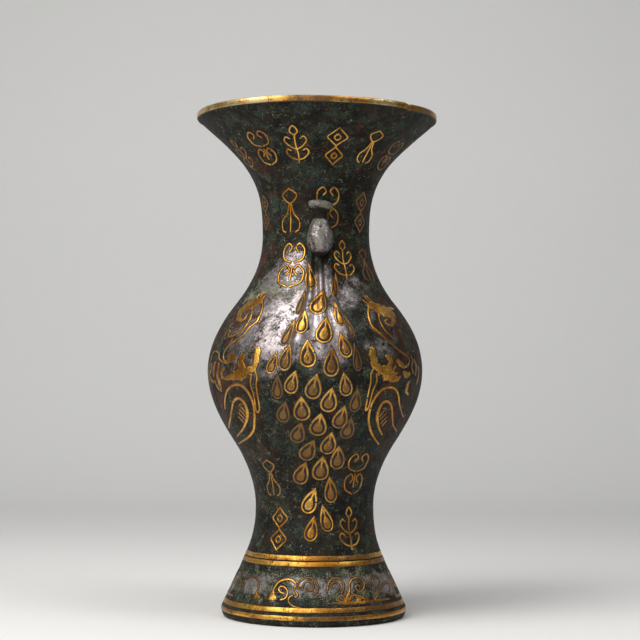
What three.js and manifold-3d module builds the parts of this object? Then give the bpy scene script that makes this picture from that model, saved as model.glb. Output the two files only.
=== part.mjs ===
// A cast bronze hu vase with a flared mouth, a round belly and a spreading hollow foot. A peacock clings
// to the neck on the front and on the back, and its train spreads down the shoulder. Gold is let into the
// bronze: a binding on the lip, two pairs of bands on the foot, feather eyes on and under each train, and
// a beast panel on each flank.
// Millimetres. Z is height above the table. Azimuths are degrees round the axis from the front (-Y),
// positive towards +X.
import * as THREE from "three";
import { mergeVertices } from "three/addons/utils/BufferGeometryUtils.js";
import Module from "manifold-3d";

const wasm = await Module();
wasm.setup();

// Outline of the casting, from the table up: how far each station stands above the one below, its outer
// radius, and how fast the radius grows there.
const FOOT_EDGE_RISE = 6;
const FOOT_R = 59.4;
const FOOT_LEAN = -0.45;
const HEEL = 2.6; // how far the heel rounds in under the foot
const ANKLE_RISE = 36.7;
const ANKLE_R = 42.8;
const ANKLE_LEAN = -0.4;
const WAIST_RISE = 27.8;
const WAIST_R = 38;
const HIP_RISE = 40.5;
const HIP_R = 51.4;
const HIP_LEAN = 0.64;
const BELLY_RISE = 45.8;
const BELLY_R = 68.9;
const SHOULDER_RISE = 43.2;
const SHOULDER_R = 50.9;
const SHOULDER_LEAN = -0.8;
const NECK_RISE = 44.4;
const NECK_R = 34.5;
const THROAT_RISE = 48.3;
const THROAT_R = 50.2;
const THROAT_LEAN = 0.92;
const MOUTH_RISE = 24.9; // up to the underside of the lip's binding
const MOUTH_R = 76.7;
const MOUTH_LEAN = 1.1;

const WALL = 3; // bronze, square to the surface
const CLEARANCE = 0.3; // between any two pieces that seat on each other
const FACETS = 28; // round the axis

// The floor is a disc brazed up into the foot against a ledge.
const FLOOR_ABOVE_ANKLE = 7.3;
const FLOOR_THICK = 3;
const FLOOR_LEDGE = 2.4;
const FOOT_RIM_WIDTH = 5;

// Gold bands and binding.
const INLAY_DEPTH = 1;
const INLAY_PROUD = 0.12;
const BAND_WIDTH = 3;
const UPPER_BANDS_BELOW_ANKLE = 0.5;
const UPPER_BANDS_GAP = 0.6;
const LOWER_BANDS_ABOVE_EDGE = 5.8;
const LOWER_BANDS_GAP = 1.9;
const LIP_R = 77.3;
const LIP_BAND_WIDTH = 4;
const LIP_BAND_THICK = 0.9;

// Wire scrolls round the foot, standing on a strip between the two pairs of bands.
const SCROLL_COUNT = 16;
const SCROLL_STRIP_GAP = 3.2; // above the lower bands
const SCROLL_STRIP_WIDTH = 2;
const SCROLL_RISE = 15;
const SCROLL_WIRE = 1.3;
const SCROLL_THICK = 0.5;

// Peacocks, front and back.
const BIRD_TURN = 4; // they sit this far round from the middle between the panels
const HEAD_BELOW_NECK = 7.4; // the head's widest part, from the neck's narrowest
const HEAD_SINK = 2;
const TRAIN_BELOW_NECK = 13.4;
const EYE_DEPTH = 0.6;
const EYE_PROUD = 0.2;

const GOLD = { color: 0xb07a26, roughness: 0.34, metalness: 1 };
const BRONZE = { color: 0x2b322c, roughness: 0.55, metalness: 0.6 };

const FOOT_EDGE_Z = FOOT_EDGE_RISE;
const ANKLE_Z = FOOT_EDGE_Z + ANKLE_RISE;
const WAIST_Z = ANKLE_Z + WAIST_RISE;
const HIP_Z = WAIST_Z + HIP_RISE;
const BELLY_Z = HIP_Z + BELLY_RISE;
const SHOULDER_Z = BELLY_Z + SHOULDER_RISE;
const NECK_Z = SHOULDER_Z + NECK_RISE;
const THROAT_Z = NECK_Z + THROAT_RISE;
const MOUTH_Z = THROAT_Z + MOUTH_RISE;
const HEIGHT = MOUTH_Z + LIP_BAND_WIDTH;
const STATIONS = [
  { z: FOOT_EDGE_Z, r: FOOT_R, lean: FOOT_LEAN },
  { z: ANKLE_Z, r: ANKLE_R, lean: ANKLE_LEAN },
  { z: WAIST_Z, r: WAIST_R, lean: 0 },
  { z: HIP_Z, r: HIP_R, lean: HIP_LEAN },
  { z: BELLY_Z, r: BELLY_R, lean: 0 },
  { z: SHOULDER_Z, r: SHOULDER_R, lean: SHOULDER_LEAN },
  { z: NECK_Z, r: NECK_R, lean: 0 },
  { z: THROAT_Z, r: THROAT_R, lean: THROAT_LEAN },
  { z: MOUTH_Z, r: MOUTH_R, lean: MOUTH_LEAN },
];

const { degToRad, radToDeg, lerp, clamp } = THREE.MathUtils;

// Outer radius of the casting at a height: one smooth cubic between each two stations.
function outerRadius(z) {
  if (z < FOOT_EDGE_Z) {
    const under = (FOOT_EDGE_Z - z) / FOOT_EDGE_Z;
    return FOOT_R - HEEL * (1 - Math.sqrt(Math.max(0, 1 - under * under)));
  }
  const above = STATIONS.findIndex((station) => station.z > z);
  const high = STATIONS[above < 0 ? STATIONS.length - 1 : above];
  const low = STATIONS[STATIONS.indexOf(high) - 1];
  const span = high.z - low.z;
  const t = (z - low.z) / span;
  const t2 = t * t;
  const t3 = t2 * t;
  const ends = (2 * t3 - 3 * t2 + 1) * low.r + (3 * t2 - 2 * t3) * high.r;
  return ends + (t3 - 2 * t2 + t) * span * low.lean + (t3 - t2) * span * high.lean;
}

function lean(z) {
  const step = 0.01;
  return (outerRadius(z + step) - outerRadius(z - step)) / (2 * step);
}

// Inner radius, the wall's thickness in from the outer face.
function innerRadius(z) {
  return outerRadius(z) - WALL * Math.hypot(1, lean(z));
}

// Evenly spaced numbers from low to high, both ends included.
function spread(low, high, count) {
  return Array.from({ length: count }, (_, i) => low + ((high - low) * i) / (count - 1));
}

function polar(azimuth, radius, z) {
  return new THREE.Vector3(radius * Math.sin(degToRad(azimuth)), -radius * Math.cos(degToRad(azimuth)), z);
}

function toSolid(geometry) {
  const bare = new THREE.BufferGeometry().setAttribute("position", geometry.getAttribute("position"));
  bare.setIndex(geometry.index);
  const merged = mergeVertices(bare, 1e-4);
  const triVerts = new Uint32Array(merged.index.array);
  const vertProperties = new Float32Array(merged.getAttribute("position").array);
  const made = new wasm.Manifold(new wasm.Mesh({ numProp: 3, vertProperties, triVerts }));
  if (made.volume() > 0) return made;
  triVerts.reverse();
  return new wasm.Manifold(new wasm.Mesh({ numProp: 3, vertProperties, triVerts }));
}

function toMesh(name, solid, finish) {
  const { vertProperties, triVerts } = solid.getMesh();
  const geometry = new THREE.BufferGeometry();
  geometry.setAttribute("position", new THREE.Float32BufferAttribute(vertProperties, 3));
  geometry.setIndex([...triVerts]);
  geometry.computeVertexNormals();
  const mesh = new THREE.Mesh(geometry, new THREE.MeshStandardMaterial({ ...finish, flatShading: true }));
  mesh.name = name;
  return mesh;
}

// A closed solid through rings of points, all with as many. The end caps join each ring's first half to
// its second, point by point.
function loft(rings) {
  const n = rings[0].length;
  const index = [];
  rings.slice(1).forEach((_, s) => {
    for (let i = 0; i < n; i++) {
      const [a, b] = [s * n + i, s * n + ((i + 1) % n)];
      index.push(a, b, b + n, a, b + n, a + n);
    }
  });
  const last = (rings.length - 1) * n;
  for (let i = 0; i + 1 < n / 2; i++) {
    const [a, b, c, d] = [i, i + 1, n - 2 - i, n - 1 - i];
    index.push(a, c, b, last + a, last + b, last + c);
    if (c !== d && a !== d) index.push(a, d, c, last + a, last + c, last + d);
  }
  const geometry = new THREE.BufferGeometry();
  const flat = rings.flat().flatMap((p) => [p.x, p.y, p.z]);
  geometry.setAttribute("position", new THREE.Float32BufferAttribute(flat, 3));
  geometry.setIndex(index);
  return toSolid(geometry);
}

// A solid of revolution about the axis from an outline of [radius, height] that closes on itself.
function turned(outline) {
  const points = [...outline, outline[0]].map(([r, z]) => new THREE.Vector2(r, z));
  return toSolid(new THREE.LatheGeometry(points, FACETS).rotateX(Math.PI / 2));
}

function joined(solids) {
  return solids.reduce((a, b) => a.add(b));
}

// The foot bands, each from its lower edge, with the azimuth of the seam where its ends butt.
const UPPER_BANDS_TOP = ANKLE_Z - UPPER_BANDS_BELOW_ANKLE;
const UPPER_BANDS_BOTTOM = UPPER_BANDS_TOP - 2 * BAND_WIDTH - UPPER_BANDS_GAP;
const LOWER_BANDS_TOP = FOOT_EDGE_Z + LOWER_BANDS_ABOVE_EDGE;
const LOWER_BANDS_BOTTOM = LOWER_BANDS_TOP - 2 * BAND_WIDTH - LOWER_BANDS_GAP;
const BANDS = [
  { name: "foot_band_1", bottom: LOWER_BANDS_BOTTOM, seam: 24 },
  { name: "foot_band_2", bottom: LOWER_BANDS_TOP - BAND_WIDTH, seam: -9 },
  { name: "foot_band_3", bottom: UPPER_BANDS_BOTTOM, seam: 150 },
  { name: "foot_band_4", bottom: UPPER_BANDS_TOP - BAND_WIDTH, seam: -5 },
];

// The outline of a groove for bands that lie between two heights. The lower two bands have one each, and
// the upper two share one.
function groove(bottom, top) {
  const [low, high] = [bottom - CLEARANCE, top + CLEARANCE];
  return [
    [outerRadius(low), low],
    [outerRadius(low) - INLAY_DEPTH, low],
    [outerRadius(high) - INLAY_DEPTH, high],
    [outerRadius(high), high],
  ];
}

// The lip is cut back all round for its binding.
const LIP_SEAT_Z = MOUTH_Z - CLEARANCE;
const LIP_SEAT_R = LIP_R - LIP_BAND_THICK - CLEARANCE;
const LIP_TONGUE_TOP = HEIGHT - LIP_BAND_THICK - CLEARANCE;
const LIP_INNER_R = LIP_R - WALL;

const outsideAt = (z) => [outerRadius(z), z];
const insideAt = (z) => [innerRadius(z), z];

// The outside from the upper foot bands to the lip's seat.
const BODY = [
  ...spread(UPPER_BANDS_TOP + CLEARANCE, WAIST_Z, 4),
  ...spread(WAIST_Z, BELLY_Z, 6).slice(1),
  ...spread(BELLY_Z, NECK_Z, 7).slice(1),
  ...spread(NECK_Z, LIP_SEAT_Z, 6).slice(1),
].map(outsideAt);

// The same outside, grown, as a plug that cuts the seat of whatever is brazed on it.
function grownBody(by) {
  const sides = BODY.map(([r, z]) => [r + by, z]);
  return turned([[0, UPPER_BANDS_TOP + CLEARANCE], ...sides, [0, LIP_SEAT_Z]]);
}

const FLOOR_TOP = ANKLE_Z + FLOOR_ABOVE_ANKLE;
const FLOOR_UNDER = FLOOR_TOP - FLOOR_THICK;
const FLOOR_SEAT_R = innerRadius(FLOOR_UNDER);

function castShell() {
  const ledgeR = FLOOR_SEAT_R - FLOOR_LEDGE;
  const outside = [
    ...spread(0, LOWER_BANDS_BOTTOM - CLEARANCE, 4).slice(0, -1).map(outsideAt),
    ...groove(LOWER_BANDS_BOTTOM, LOWER_BANDS_BOTTOM + BAND_WIDTH),
    ...groove(LOWER_BANDS_TOP - BAND_WIDTH, LOWER_BANDS_TOP),
    ...spread(LOWER_BANDS_TOP + CLEARANCE, UPPER_BANDS_BOTTOM - CLEARANCE, 3).slice(1, -1).map(outsideAt),
    ...groove(UPPER_BANDS_BOTTOM, UPPER_BANDS_TOP),
    ...BODY.slice(1),
  ];
  const lip = [
    [LIP_SEAT_R, LIP_SEAT_Z],
    [LIP_SEAT_R, LIP_TONGUE_TOP],
    [LIP_INNER_R, LIP_TONGUE_TOP],
  ];
  const inside = [
    ...spread(LIP_SEAT_Z, NECK_Z, 4).map(insideAt),
    ...spread(NECK_Z, BELLY_Z, 5).slice(1).map(insideAt),
    ...spread(BELLY_Z, WAIST_Z, 4).slice(1).map(insideAt),
    [ledgeR, FLOOR_TOP + 2 * FLOOR_LEDGE],
    [ledgeR, FLOOR_TOP + CLEARANCE],
    [FLOOR_SEAT_R, FLOOR_TOP + CLEARANCE],
    [FLOOR_SEAT_R, FLOOR_UNDER - CLEARANCE],
    ...spread(FLOOR_UNDER - CLEARANCE, FOOT_EDGE_Z, 4).slice(1).map(insideAt),
    [outerRadius(0) - FOOT_RIM_WIDTH, 0],
  ];
  return turned([...outside, ...lip, ...inside]);
}

function floorDisc() {
  const radius = FLOOR_SEAT_R - CLEARANCE;
  return turned([
    [0, FLOOR_UNDER],
    [radius, FLOOR_UNDER],
    [radius, FLOOR_TOP],
    [0, FLOOR_TOP],
  ]);
}

// A strip bent right round the vase, its ends butted at the seam. The outline runs as [radius, height].
function ring(outline, seam) {
  const reach = 2 * BELLY_R;
  const cut = new THREE.BoxGeometry(CLEARANCE, reach, 2 * HEIGHT);
  cut.translate(0, -reach / 2, HEIGHT).rotateZ(degToRad(seam));
  return turned(outline).subtract(toSolid(cut));
}

function footBand({ bottom, seam }) {
  const top = bottom + BAND_WIDTH;
  const back = INLAY_DEPTH - CLEARANCE;
  const outline = [
    [outerRadius(bottom) + INLAY_PROUD, bottom],
    [outerRadius(top) + INLAY_PROUD, top],
    [outerRadius(top) - back, top],
    [outerRadius(bottom) - back, bottom],
  ];
  return ring(outline, seam);
}

// The lip's binding: an outer face and a flat top folded in over the lip.
function lipBinding() {
  const outline = [
    [LIP_R, MOUTH_Z],
    [LIP_R, HEIGHT],
    [LIP_INNER_R, HEIGHT],
    [LIP_INNER_R, HEIGHT - LIP_BAND_THICK],
    [LIP_R - LIP_BAND_THICK, HEIGHT - LIP_BAND_THICK],
    [LIP_R - LIP_BAND_THICK, MOUTH_Z],
  ];
  return ring(outline, -22);
}

// A strip of sheet or wire laid along a smooth line of [azimuth, height], as wide at each stop as the
// widths say, between two levels measured out from a face. The same line, grown, cuts its seat.
function stroke({ line, widths, steps }, grow, low, high, face = outerRadius) {
  const curve = new THREE.SplineCurve(line.map(([azimuth, z]) => new THREE.Vector2(azimuth, z)));
  const rings = spread(0, 1, steps).map((t) => {
    const p = curve.getPoint(t);
    const tangent = curve.getTangent(t);
    const slant = Math.hypot(1, lean(p.y));
    const along = new THREE.Vector2(degToRad(tangent.x) * outerRadius(p.y), tangent.y * slant).normalize();
    const share = t * (widths.length - 1);
    const k = Math.min(widths.length - 2, Math.floor(share));
    const half = lerp(widths[k], widths[k + 1], share - k) / 2 + grow;
    const end = t === 0 ? -grow : t === 1 ? grow : 0;
    const spot = (side, level) => {
      const z = p.y + (along.y * end + along.x * half * side) / slant;
      const azimuth = p.x + radToDeg((along.x * end - along.y * half * side) / outerRadius(z));
      return polar(azimuth, face(z, azimuth) + level, z);
    };
    return [spot(1, low), spot(-1, low), spot(-1, high), spot(1, high)];
  });
  return loft(rings);
}

function inlay(strokes) {
  return joined(strokes.map((s) => stroke(s, 0, CLEARANCE - INLAY_DEPTH, INLAY_PROUD)));
}

function seatOf(strokes) {
  return joined(strokes.map((s) => stroke(s, CLEARANCE, -INLAY_DEPTH, 2)));
}

// The gold pieces of half a panel, from its edge near the peacock to the middle of the flank, for the
// right and the left of each bird. Heights here are from the belly's widest.
const PANELS = {
  right: {
    plume: [
      {
        line: [[38.2, 40.6], [45, 39.5], [51, 37], [57, 35], [50.3, 28.2]],
        widths: [2.2, 5, 5.4, 3, 1.2],
        steps: 6,
      },
      { line: [[45.5, 37.5], [42.4, 29.5], [48.5, 19.6]], widths: [1.6, 1.4, 1.2], steps: 4 },
      { line: [[39, 41], [34.3, 30.5], [45.5, 16.3], [55.8, 9.8]], widths: [1.5, 1.8, 1.2], steps: 6 },
    ],
    beast: [
      {
        line: [[31.4, 13.5], [31.9, 5.5], [36, 0.4], [41, -2.4], [49.5, -4]],
        widths: [2.6, 3.4, 5, 5.6, 1.6],
        steps: 5,
      },
      { line: [[39.3, 9.1], [42.6, 5.6], [40, 0]], widths: [1.6, 2.6, 3], steps: 3 },
      { line: [[44.5, -3], [46.4, 3.6], [51, 3.4], [58, 4.8]], widths: [1.4, 2.4, 1.2], steps: 5 },
      {
        line: [[31.5, 3], [28, -10], [28, -22], [29.3, -25.5], [30.6, -21], [31, -9], [35.6, 0]],
        widths: [1.2, 1.2],
        steps: 9,
      },
      { line: [[48, -4], [57.5, -10], [62, -2], [61, 8.5]], widths: [1.6, 2.2, 1.4], steps: 4 },
    ],
    outer_coil: [
      {
        line: [[51.5, -45.9], [37.1, -36.4], [32.6, -22], [41, -10.3], [54.6, -20.8], [65.6, -28.7]],
        widths: [1, 1.7, 1.7, 1],
        steps: 9,
      },
    ],
    inner_coil: [
      {
        line: [[67.3, -38.1], [52.5, -28.9], [42.4, -18.7], [38.8, -27], [50.1, -39.9]],
        widths: [1, 1.6, 2.4, 1],
        steps: 8,
      },
      { line: [[38.9, -26], [43.6, -28.5], [47, -26.6]], widths: [2, 1.2], steps: 2 },
    ],
  },
  left: {
    plume: [
      {
        line: [[41.1, 43.4], [48.6, 41.6], [55.4, 39], [56.6, 35], [49.3, 31.4]],
        widths: [2.6, 5, 4.6, 2.6, 1.3],
        steps: 6,
      },
      { line: [[47.8, 41], [43.4, 32], [46, 24.6], [56.1, 20.6]], widths: [1.6, 1.4, 1.1], steps: 5 },
      {
        line: [[41.6, 43.2], [36.3, 34], [45.5, 20], [56.2, 12.4], [52, 8.4], [46.7, 9.6]],
        widths: [1.5, 1.4, 1.3, 1.2, 3.4, 1.2],
        steps: 8,
      },
    ],
    beast: [
      {
        line: [[31.6, 13.2], [31.7, 5], [35.6, 0], [41, -2], [54, -5.8]],
        widths: [2.6, 3, 4.4, 5.8, 1.4],
        steps: 5,
      },
      { line: [[39.1, 8.8], [41.2, 6], [39.7, 0]], widths: [1.6, 2.4, 3], steps: 3 },
      { line: [[45.4, -3], [47, 1.6], [57.6, 4.6], [66.2, 11.6], [73.6, 6.3]], widths: [1.6, 1.2], steps: 7 },
      {
        line: [[31.8, 3], [30.8, -10], [30.8, -22], [32.2, -26], [33.6, -21], [33.9, -9], [35.8, 0]],
        widths: [1.2, 1.2],
        steps: 9,
      },
      { line: [[52, -5.2], [60.3, -10], [62, -2], [60.5, 5.6]], widths: [1.6, 2.4, 1.6], steps: 4 },
    ],
    outer_coil: [
      {
        line: [[62.4, -24.3], [51.7, -11.2], [41.4, -9.8], [36, -20], [42.5, -37.8], [69.9, -46.5]],
        widths: [1, 1.7, 1.7, 1],
        steps: 9,
      },
    ],
    inner_coil: [
      {
        line: [[71.8, -36.6], [55.2, -24.9], [44.5, -17.8], [41.6, -25.5], [53.2, -37.6], [65.1, -42]],
        widths: [1, 1.6, 2.4, 1],
        steps: 9,
      },
      { line: [[41.8, -25], [46.4, -27.6], [50, -25.8]], widths: [2, 1.2], steps: 2 },
    ],
  },
};

// Turns a piece of half a panel to its own quarter of the vase.
function placed(strokes, { turn, mirror }) {
  const move = ([azimuth, rise]) => [turn + mirror * azimuth, BELLY_Z + rise];
  return strokes.map((s) => ({ ...s, line: s.line.map(move) }));
}
const QUARTERS = {
  front_right: { panel: "right", turn: 0, mirror: 1 },
  back_right: { panel: "left", turn: 180, mirror: -1 },
  back_left: { panel: "right", turn: 180, mirror: 1 },
  front_left: { panel: "left", turn: 0, mirror: -1 },
};

// The peacock's head under its fan crest: level sections, each with its rise over the head's widest part,
// its half width, and how far its front and its back stand out from the neck.
const HEAD_SECTIONS = [
  { rise: 24.5, half: 6.4, front: 8.8, back: 5.4 },
  { rise: 23.4, half: 7.4, front: 10.6, back: 4.6 },
  { rise: 21.4, half: 7.3, front: 10.4, back: 3.6 },
  { rise: 18, half: 5, front: 8.2, back: 2 },
  { rise: 15.4, half: 4.2, front: 7.8, back: -HEAD_SINK },
  { rise: 12, half: 5.6, front: 9.6, back: -HEAD_SINK },
  { rise: 6.5, half: 8, front: 12.4, back: -HEAD_SINK },
  { rise: 1, half: 9.2, front: 13.4, back: -HEAD_SINK },
  { rise: -4.5, half: 8, front: 12.8, back: -HEAD_SINK },
  { rise: -8.5, half: 5.2, front: 11.6, back: 3.6 },
  { rise: -11.2, half: 2.2, front: 10, back: 6.8 },
];
const HEAD_SIDES = 10;

function peacockHead(grow) {
  const last = HEAD_SECTIONS.length - 1;
  const rings = HEAD_SECTIONS.map(({ rise, half, front, back }, i) => {
    const z = NECK_Z - HEAD_BELOW_NECK + rise + (i === 0 ? grow : i === last ? -grow : 0);
    const middle = (front + back) / 2;
    const deep = (front - back) / 2 + grow;
    return spread(0, 360, HEAD_SIDES + 1).slice(1).map((turn) => {
      const across = (half + grow) * Math.sin(degToRad(turn));
      const out = NECK_R + middle + deep * Math.cos(degToRad(turn));
      return new THREE.Vector3(across, -out, z);
    });
  });
  return loft(rings).rotate([0, 0, BIRD_TURN]);
}

// The folded train in relief: it stands proud of the shoulder in three folds. Each row has its place
// between the train's top and its end at the belly, its half width, and how far its middle stands out.
const TRAIN_ROWS = [
  { down: 0, half: 7.5, proud: 4.4 },
  { down: 0.18, half: 7.8, proud: 4.8 },
  { down: 0.34, half: 9, proud: 5 },
  { down: 0.51, half: 13, proud: 4.6 },
  { down: 0.68, half: 18, proud: 4 },
  { down: 0.84, half: 23, proud: 3.2 },
  { down: 1, half: 27, proud: 2.4 },
];
const TRAIN_SIDES = 9;
const TRAIN_TOP = NECK_Z - TRAIN_BELOW_NECK;

// How far out the front bird's train stands at a height and an azimuth.
function trainFace(z, azimuth) {
  const down = clamp((TRAIN_TOP - z) / (TRAIN_TOP - BELLY_Z), 0, 1);
  const next = TRAIN_ROWS.find((row, i) => i > 0 && row.down >= down);
  const row = TRAIN_ROWS[TRAIN_ROWS.indexOf(next) - 1];
  const t = (down - row.down) / (next.down - row.down);
  const across = (degToRad(azimuth - BIRD_TURN) * outerRadius(z)) / lerp(row.half, next.half, t);
  const rounded = Math.sqrt(Math.max(0.2, 1 - across * across));
  const folded = 0.86 + 0.14 * Math.cos(3 * Math.PI * clamp(across, -1, 1));
  return outerRadius(z) + lerp(row.proud, next.proud, t) * rounded * folded;
}

function peacockTrain() {
  const rings = TRAIN_ROWS.map(({ down, half }) => {
    const z = lerp(TRAIN_TOP, BELLY_Z, down);
    const edge = radToDeg(half / outerRadius(z));
    const turns = spread(BIRD_TURN - edge, BIRD_TURN + edge, TRAIN_SIDES);
    const front = turns.map((azimuth) => polar(azimuth, trainFace(z, azimuth), z));
    const back = turns.map((azimuth) => polar(azimuth, outerRadius(z) - HEAD_SINK, z));
    return [...front, ...back.reverse()];
  });
  return loft(rings);
}

// Feather eyes, each with its round end and its point as [azimuth, rise over the belly's widest], and its
// width there. The first are let into the train and the others into the body under it.
const TRAIN_EYES = [
  { round: [1.7, 40], point: [6.1, 51], width: 9.4 },
  { round: [-6.7, 26], point: [-5.4, 37], width: 7.6 },
  { round: [4.6, 21.5], point: [6.7, 33], width: 9.6 },
  { round: [15, 13], point: [12.5, 24], width: 7.8 },
  { round: [-3.4, 7.5], point: [-3.9, 19], width: 9.4 },
];
const BODY_EYES = [
  { round: [-12.5, -9.5], point: [-9.6, 0], width: 8.6 },
  { round: [-0.9, -12], point: [1.2, -1.6], width: 9.8 },
  { round: [16.2, -11.6], point: [14.3, -1.4], width: 8 },
  { round: [7.8, -21], point: [9.1, -11], width: 9.4 },
  { round: [-7.1, -25.5], point: [-7, -15.5], width: 9.8 },
  { round: [2, -35], point: [3.7, -25.6], width: 9.8 },
  { round: [14.1, -31], point: [16, -21.6], width: 9 },
];

function eye({ round, point, width }, grow, low, high, face) {
  const toPoint = point.map((value, i) => value - round[i]);
  const length = Math.hypot(degToRad(toPoint[0]) * outerRadius(BELLY_Z), toPoint[1]);
  const end = round.map((value, i) => value - (toPoint[i] * width) / 2 / length);
  const line = [end, round, point].map(([azimuth, rise]) => [azimuth, BELLY_Z + rise]);
  const widths = [0.6, 1, 0.52, 0.1].map((share) => share * width);
  return stroke({ line, widths, steps: 4 }, grow, low, high, face);
}

// Wire scrolls in mirrored pairs, rooted in a strip that runs round the foot.
function footFrieze() {
  const bottom = LOWER_BANDS_TOP + SCROLL_STRIP_GAP;
  const top = bottom + SCROLL_STRIP_WIDTH;
  const lift = CLEARANCE + SCROLL_THICK;
  const strip = turned([
    [outerRadius(bottom) + lift, bottom],
    [outerRadius(top) + lift, top],
    [outerRadius(top) + CLEARANCE, top],
    [outerRadius(bottom) + CLEARANCE, bottom],
  ]);
  const pitch = 360 / SCROLL_COUNT;
  const wires = spread(0, SCROLL_COUNT - 1, SCROLL_COUNT).map((i) => {
    const root = (Math.floor(i / 2) * 2 + 1) * pitch;
    const hand = i % 2 ? 1 : -1;
    const at = (share, rise) => [root + hand * share * pitch, bottom + rise * SCROLL_RISE];
    const stem = [at(0.06, 0.08), at(0.12, 0.6), at(0.45, 0.96)];
    const line = [...stem, at(0.82, 0.66), at(0.6, 0.36), at(0.42, 0.6)];
    return stroke({ line, widths: [SCROLL_WIRE, SCROLL_WIRE], steps: 6 }, 0, CLEARANCE, lift);
  });
  return joined([strip, ...wires]);
}

const vase = new THREE.Group();

let shell = castShell();
for (const [quarter, place] of Object.entries(QUARTERS))
  for (const [piece, strokes] of Object.entries(PANELS[place.panel])) {
    const here = placed(strokes, place);
    shell = shell.subtract(seatOf(here));
    vase.add(toMesh(`${quarter}_${piece}`, inlay(here), GOLD));
  }
for (const band of BANDS) vase.add(toMesh(band.name, footBand(band), GOLD));
vase.add(toMesh("lip_binding", lipBinding(), GOLD));
vase.add(toMesh("foot_frieze", footFrieze(), GOLD));
vase.add(toMesh("floor_disc", floorDisc(), BRONZE));

const goldEye = (spot, face) => eye(spot, 0, CLEARANCE - EYE_DEPTH, EYE_PROUD, face);
const eyeSeat = (spot, face) => eye(spot, CLEARANCE, -EYE_DEPTH, 3, face);
const seatingFace = grownBody(CLEARANCE);
const head = peacockHead(0).subtract(seatingFace);
const train = peacockTrain()
  .subtract(seatingFace)
  .subtract(peacockHead(CLEARANCE))
  .subtract(joined(TRAIN_EYES.map((spot) => eyeSeat(spot, trainFace))));
const bodySeats = joined(BODY_EYES.map((spot) => eyeSeat(spot)));
const trainEyes = TRAIN_EYES.map((spot) => goldEye(spot, trainFace));
const eyes = [...trainEyes, ...BODY_EYES.map((spot) => goldEye(spot))];
for (const [side, turn] of Object.entries({ front: 0, back: 180 })) {
  const spin = (solid) => solid.rotate([0, 0, turn]);
  shell = shell.subtract(spin(bodySeats));
  vase.add(toMesh(`${side}_peacock_head`, spin(head), BRONZE));
  vase.add(toMesh(`${side}_peacock_train`, spin(train), BRONZE));
  eyes.forEach((solid, i) => vase.add(toMesh(`${side}_eye_${i + 1}`, spin(solid), GOLD)));
}
vase.add(toMesh("cast_shell", shell, BRONZE));

export default vase;
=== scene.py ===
"""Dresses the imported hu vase: a cast bronze body with a worn patina, peacocks in relief on the neck and
shoulder, and gold let into the lip, the foot, the flanks and the feathers.

Lengths in the code are millimetres and become metres where a mesh is made. Azimuths are degrees round the
axis from the front (-Y), positive towards +X.
"""

import math

import bpy
import numpy as np
from bpy.props import FloatProperty, FloatVectorProperty, IntProperty, PointerProperty
from mathutils import Matrix, Vector


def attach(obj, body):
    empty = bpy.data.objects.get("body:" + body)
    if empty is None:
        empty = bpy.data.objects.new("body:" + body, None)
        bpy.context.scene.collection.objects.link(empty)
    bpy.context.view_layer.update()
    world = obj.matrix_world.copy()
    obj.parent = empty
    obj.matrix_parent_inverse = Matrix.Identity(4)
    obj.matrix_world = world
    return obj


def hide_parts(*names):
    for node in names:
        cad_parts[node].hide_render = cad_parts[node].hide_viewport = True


bl_info = {
    "name": "Hu vase",
    "version": (1, 0, 0),
    "blender": (4, 5, 0),
    "location": "3D View > Sidebar > Vase",
    "description": "Builds the cast body, the peacocks and the gold inlay of a hu vase round its CAD frame",
    "category": "Add Mesh",
}

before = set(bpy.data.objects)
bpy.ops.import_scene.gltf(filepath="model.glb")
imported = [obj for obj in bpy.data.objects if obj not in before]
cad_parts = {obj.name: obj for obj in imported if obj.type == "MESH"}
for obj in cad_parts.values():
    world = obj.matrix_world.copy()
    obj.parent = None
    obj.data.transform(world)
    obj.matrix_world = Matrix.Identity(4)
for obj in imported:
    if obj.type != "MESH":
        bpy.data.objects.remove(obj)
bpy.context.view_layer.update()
MM = 0.001

# The outline of the casting as the CAD has it: height, outer radius and lean at each station.
STATIONS = (
    (6, 59.4, -0.45), (42.7, 42.8, -0.4), (70.5, 38, 0), (111, 51.4, 0.64), (156.8, 68.9, 0),
    (200, 50.9, -0.8), (244.4, 34.5, 0), (292.7, 50.2, 0.92), (317.6, 76.7, 1.1),
)
# How far the foot's edge rounds in. Then the heights of the belly's widest and the neck's narrowest, of the
# mouth and of the lip's top, and the lip's radius.
HEEL = 2.6
BELLY_Z = 156.8
NECK_Z = 244.4
MOUTH_Z = 317.6
LIP_Z = 321.6
LIP_R = 77.3
# Casting holes that show in front of each bird, as azimuth, height and radius, and the ranges of the same for
# the small ones that are strewn besides.
HOLES = (
    (33.6, 185.8, 0.9), (33.7, 179.6, 0.8), (27.6, 176.4, 1.0), (39.3, 172.9, 1.3), (-3.9, 182.1, 1.2),
    (-28.0, 5.2, 0.9), (-31.5, 5.4, 0.8), (22.6, 10.2, 1.0), (12.0, 204.0, 0.7), (41.5, 189.0, 0.7),
)
STREWN = ((0, 360), (8, 310), (0.35, 0.85))
HOLE_SEED = 12
# Holes are a little wider than high: their height over their width, and how far up or down one can reach.
HOLE_STRETCH = 0.8
HOLE_REACH = 3.0
BRONZE = ("patinated_bronze",)
GOLD = ("worn_gold",)
INLAY = ("worn_gold", "inlay_seat")


def settings(label):
    return getattr(bpy.context.scene, f"vase_{label}")


# ---- the form of the casting ----


def smooth_step(value):
    value = np.clip(value, 0.0, 1.0)
    return value * value * (3.0 - 2.0 * value)


def between(value, low, rise, high, fall):
    """1 well between a low and a high value, falling smoothly to 0 at both."""
    return smooth_step((value - low) / rise) * smooth_step((high - value) / fall)


def bell(value, middle, spread, power=2):
    return np.exp(-(((value - middle) / spread) ** power))


def turned(azimuth, start=0.0):
    """Degrees from a start, between -180 and 180."""
    return (azimuth - start + 180.0) % 360.0 - 180.0


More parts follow.
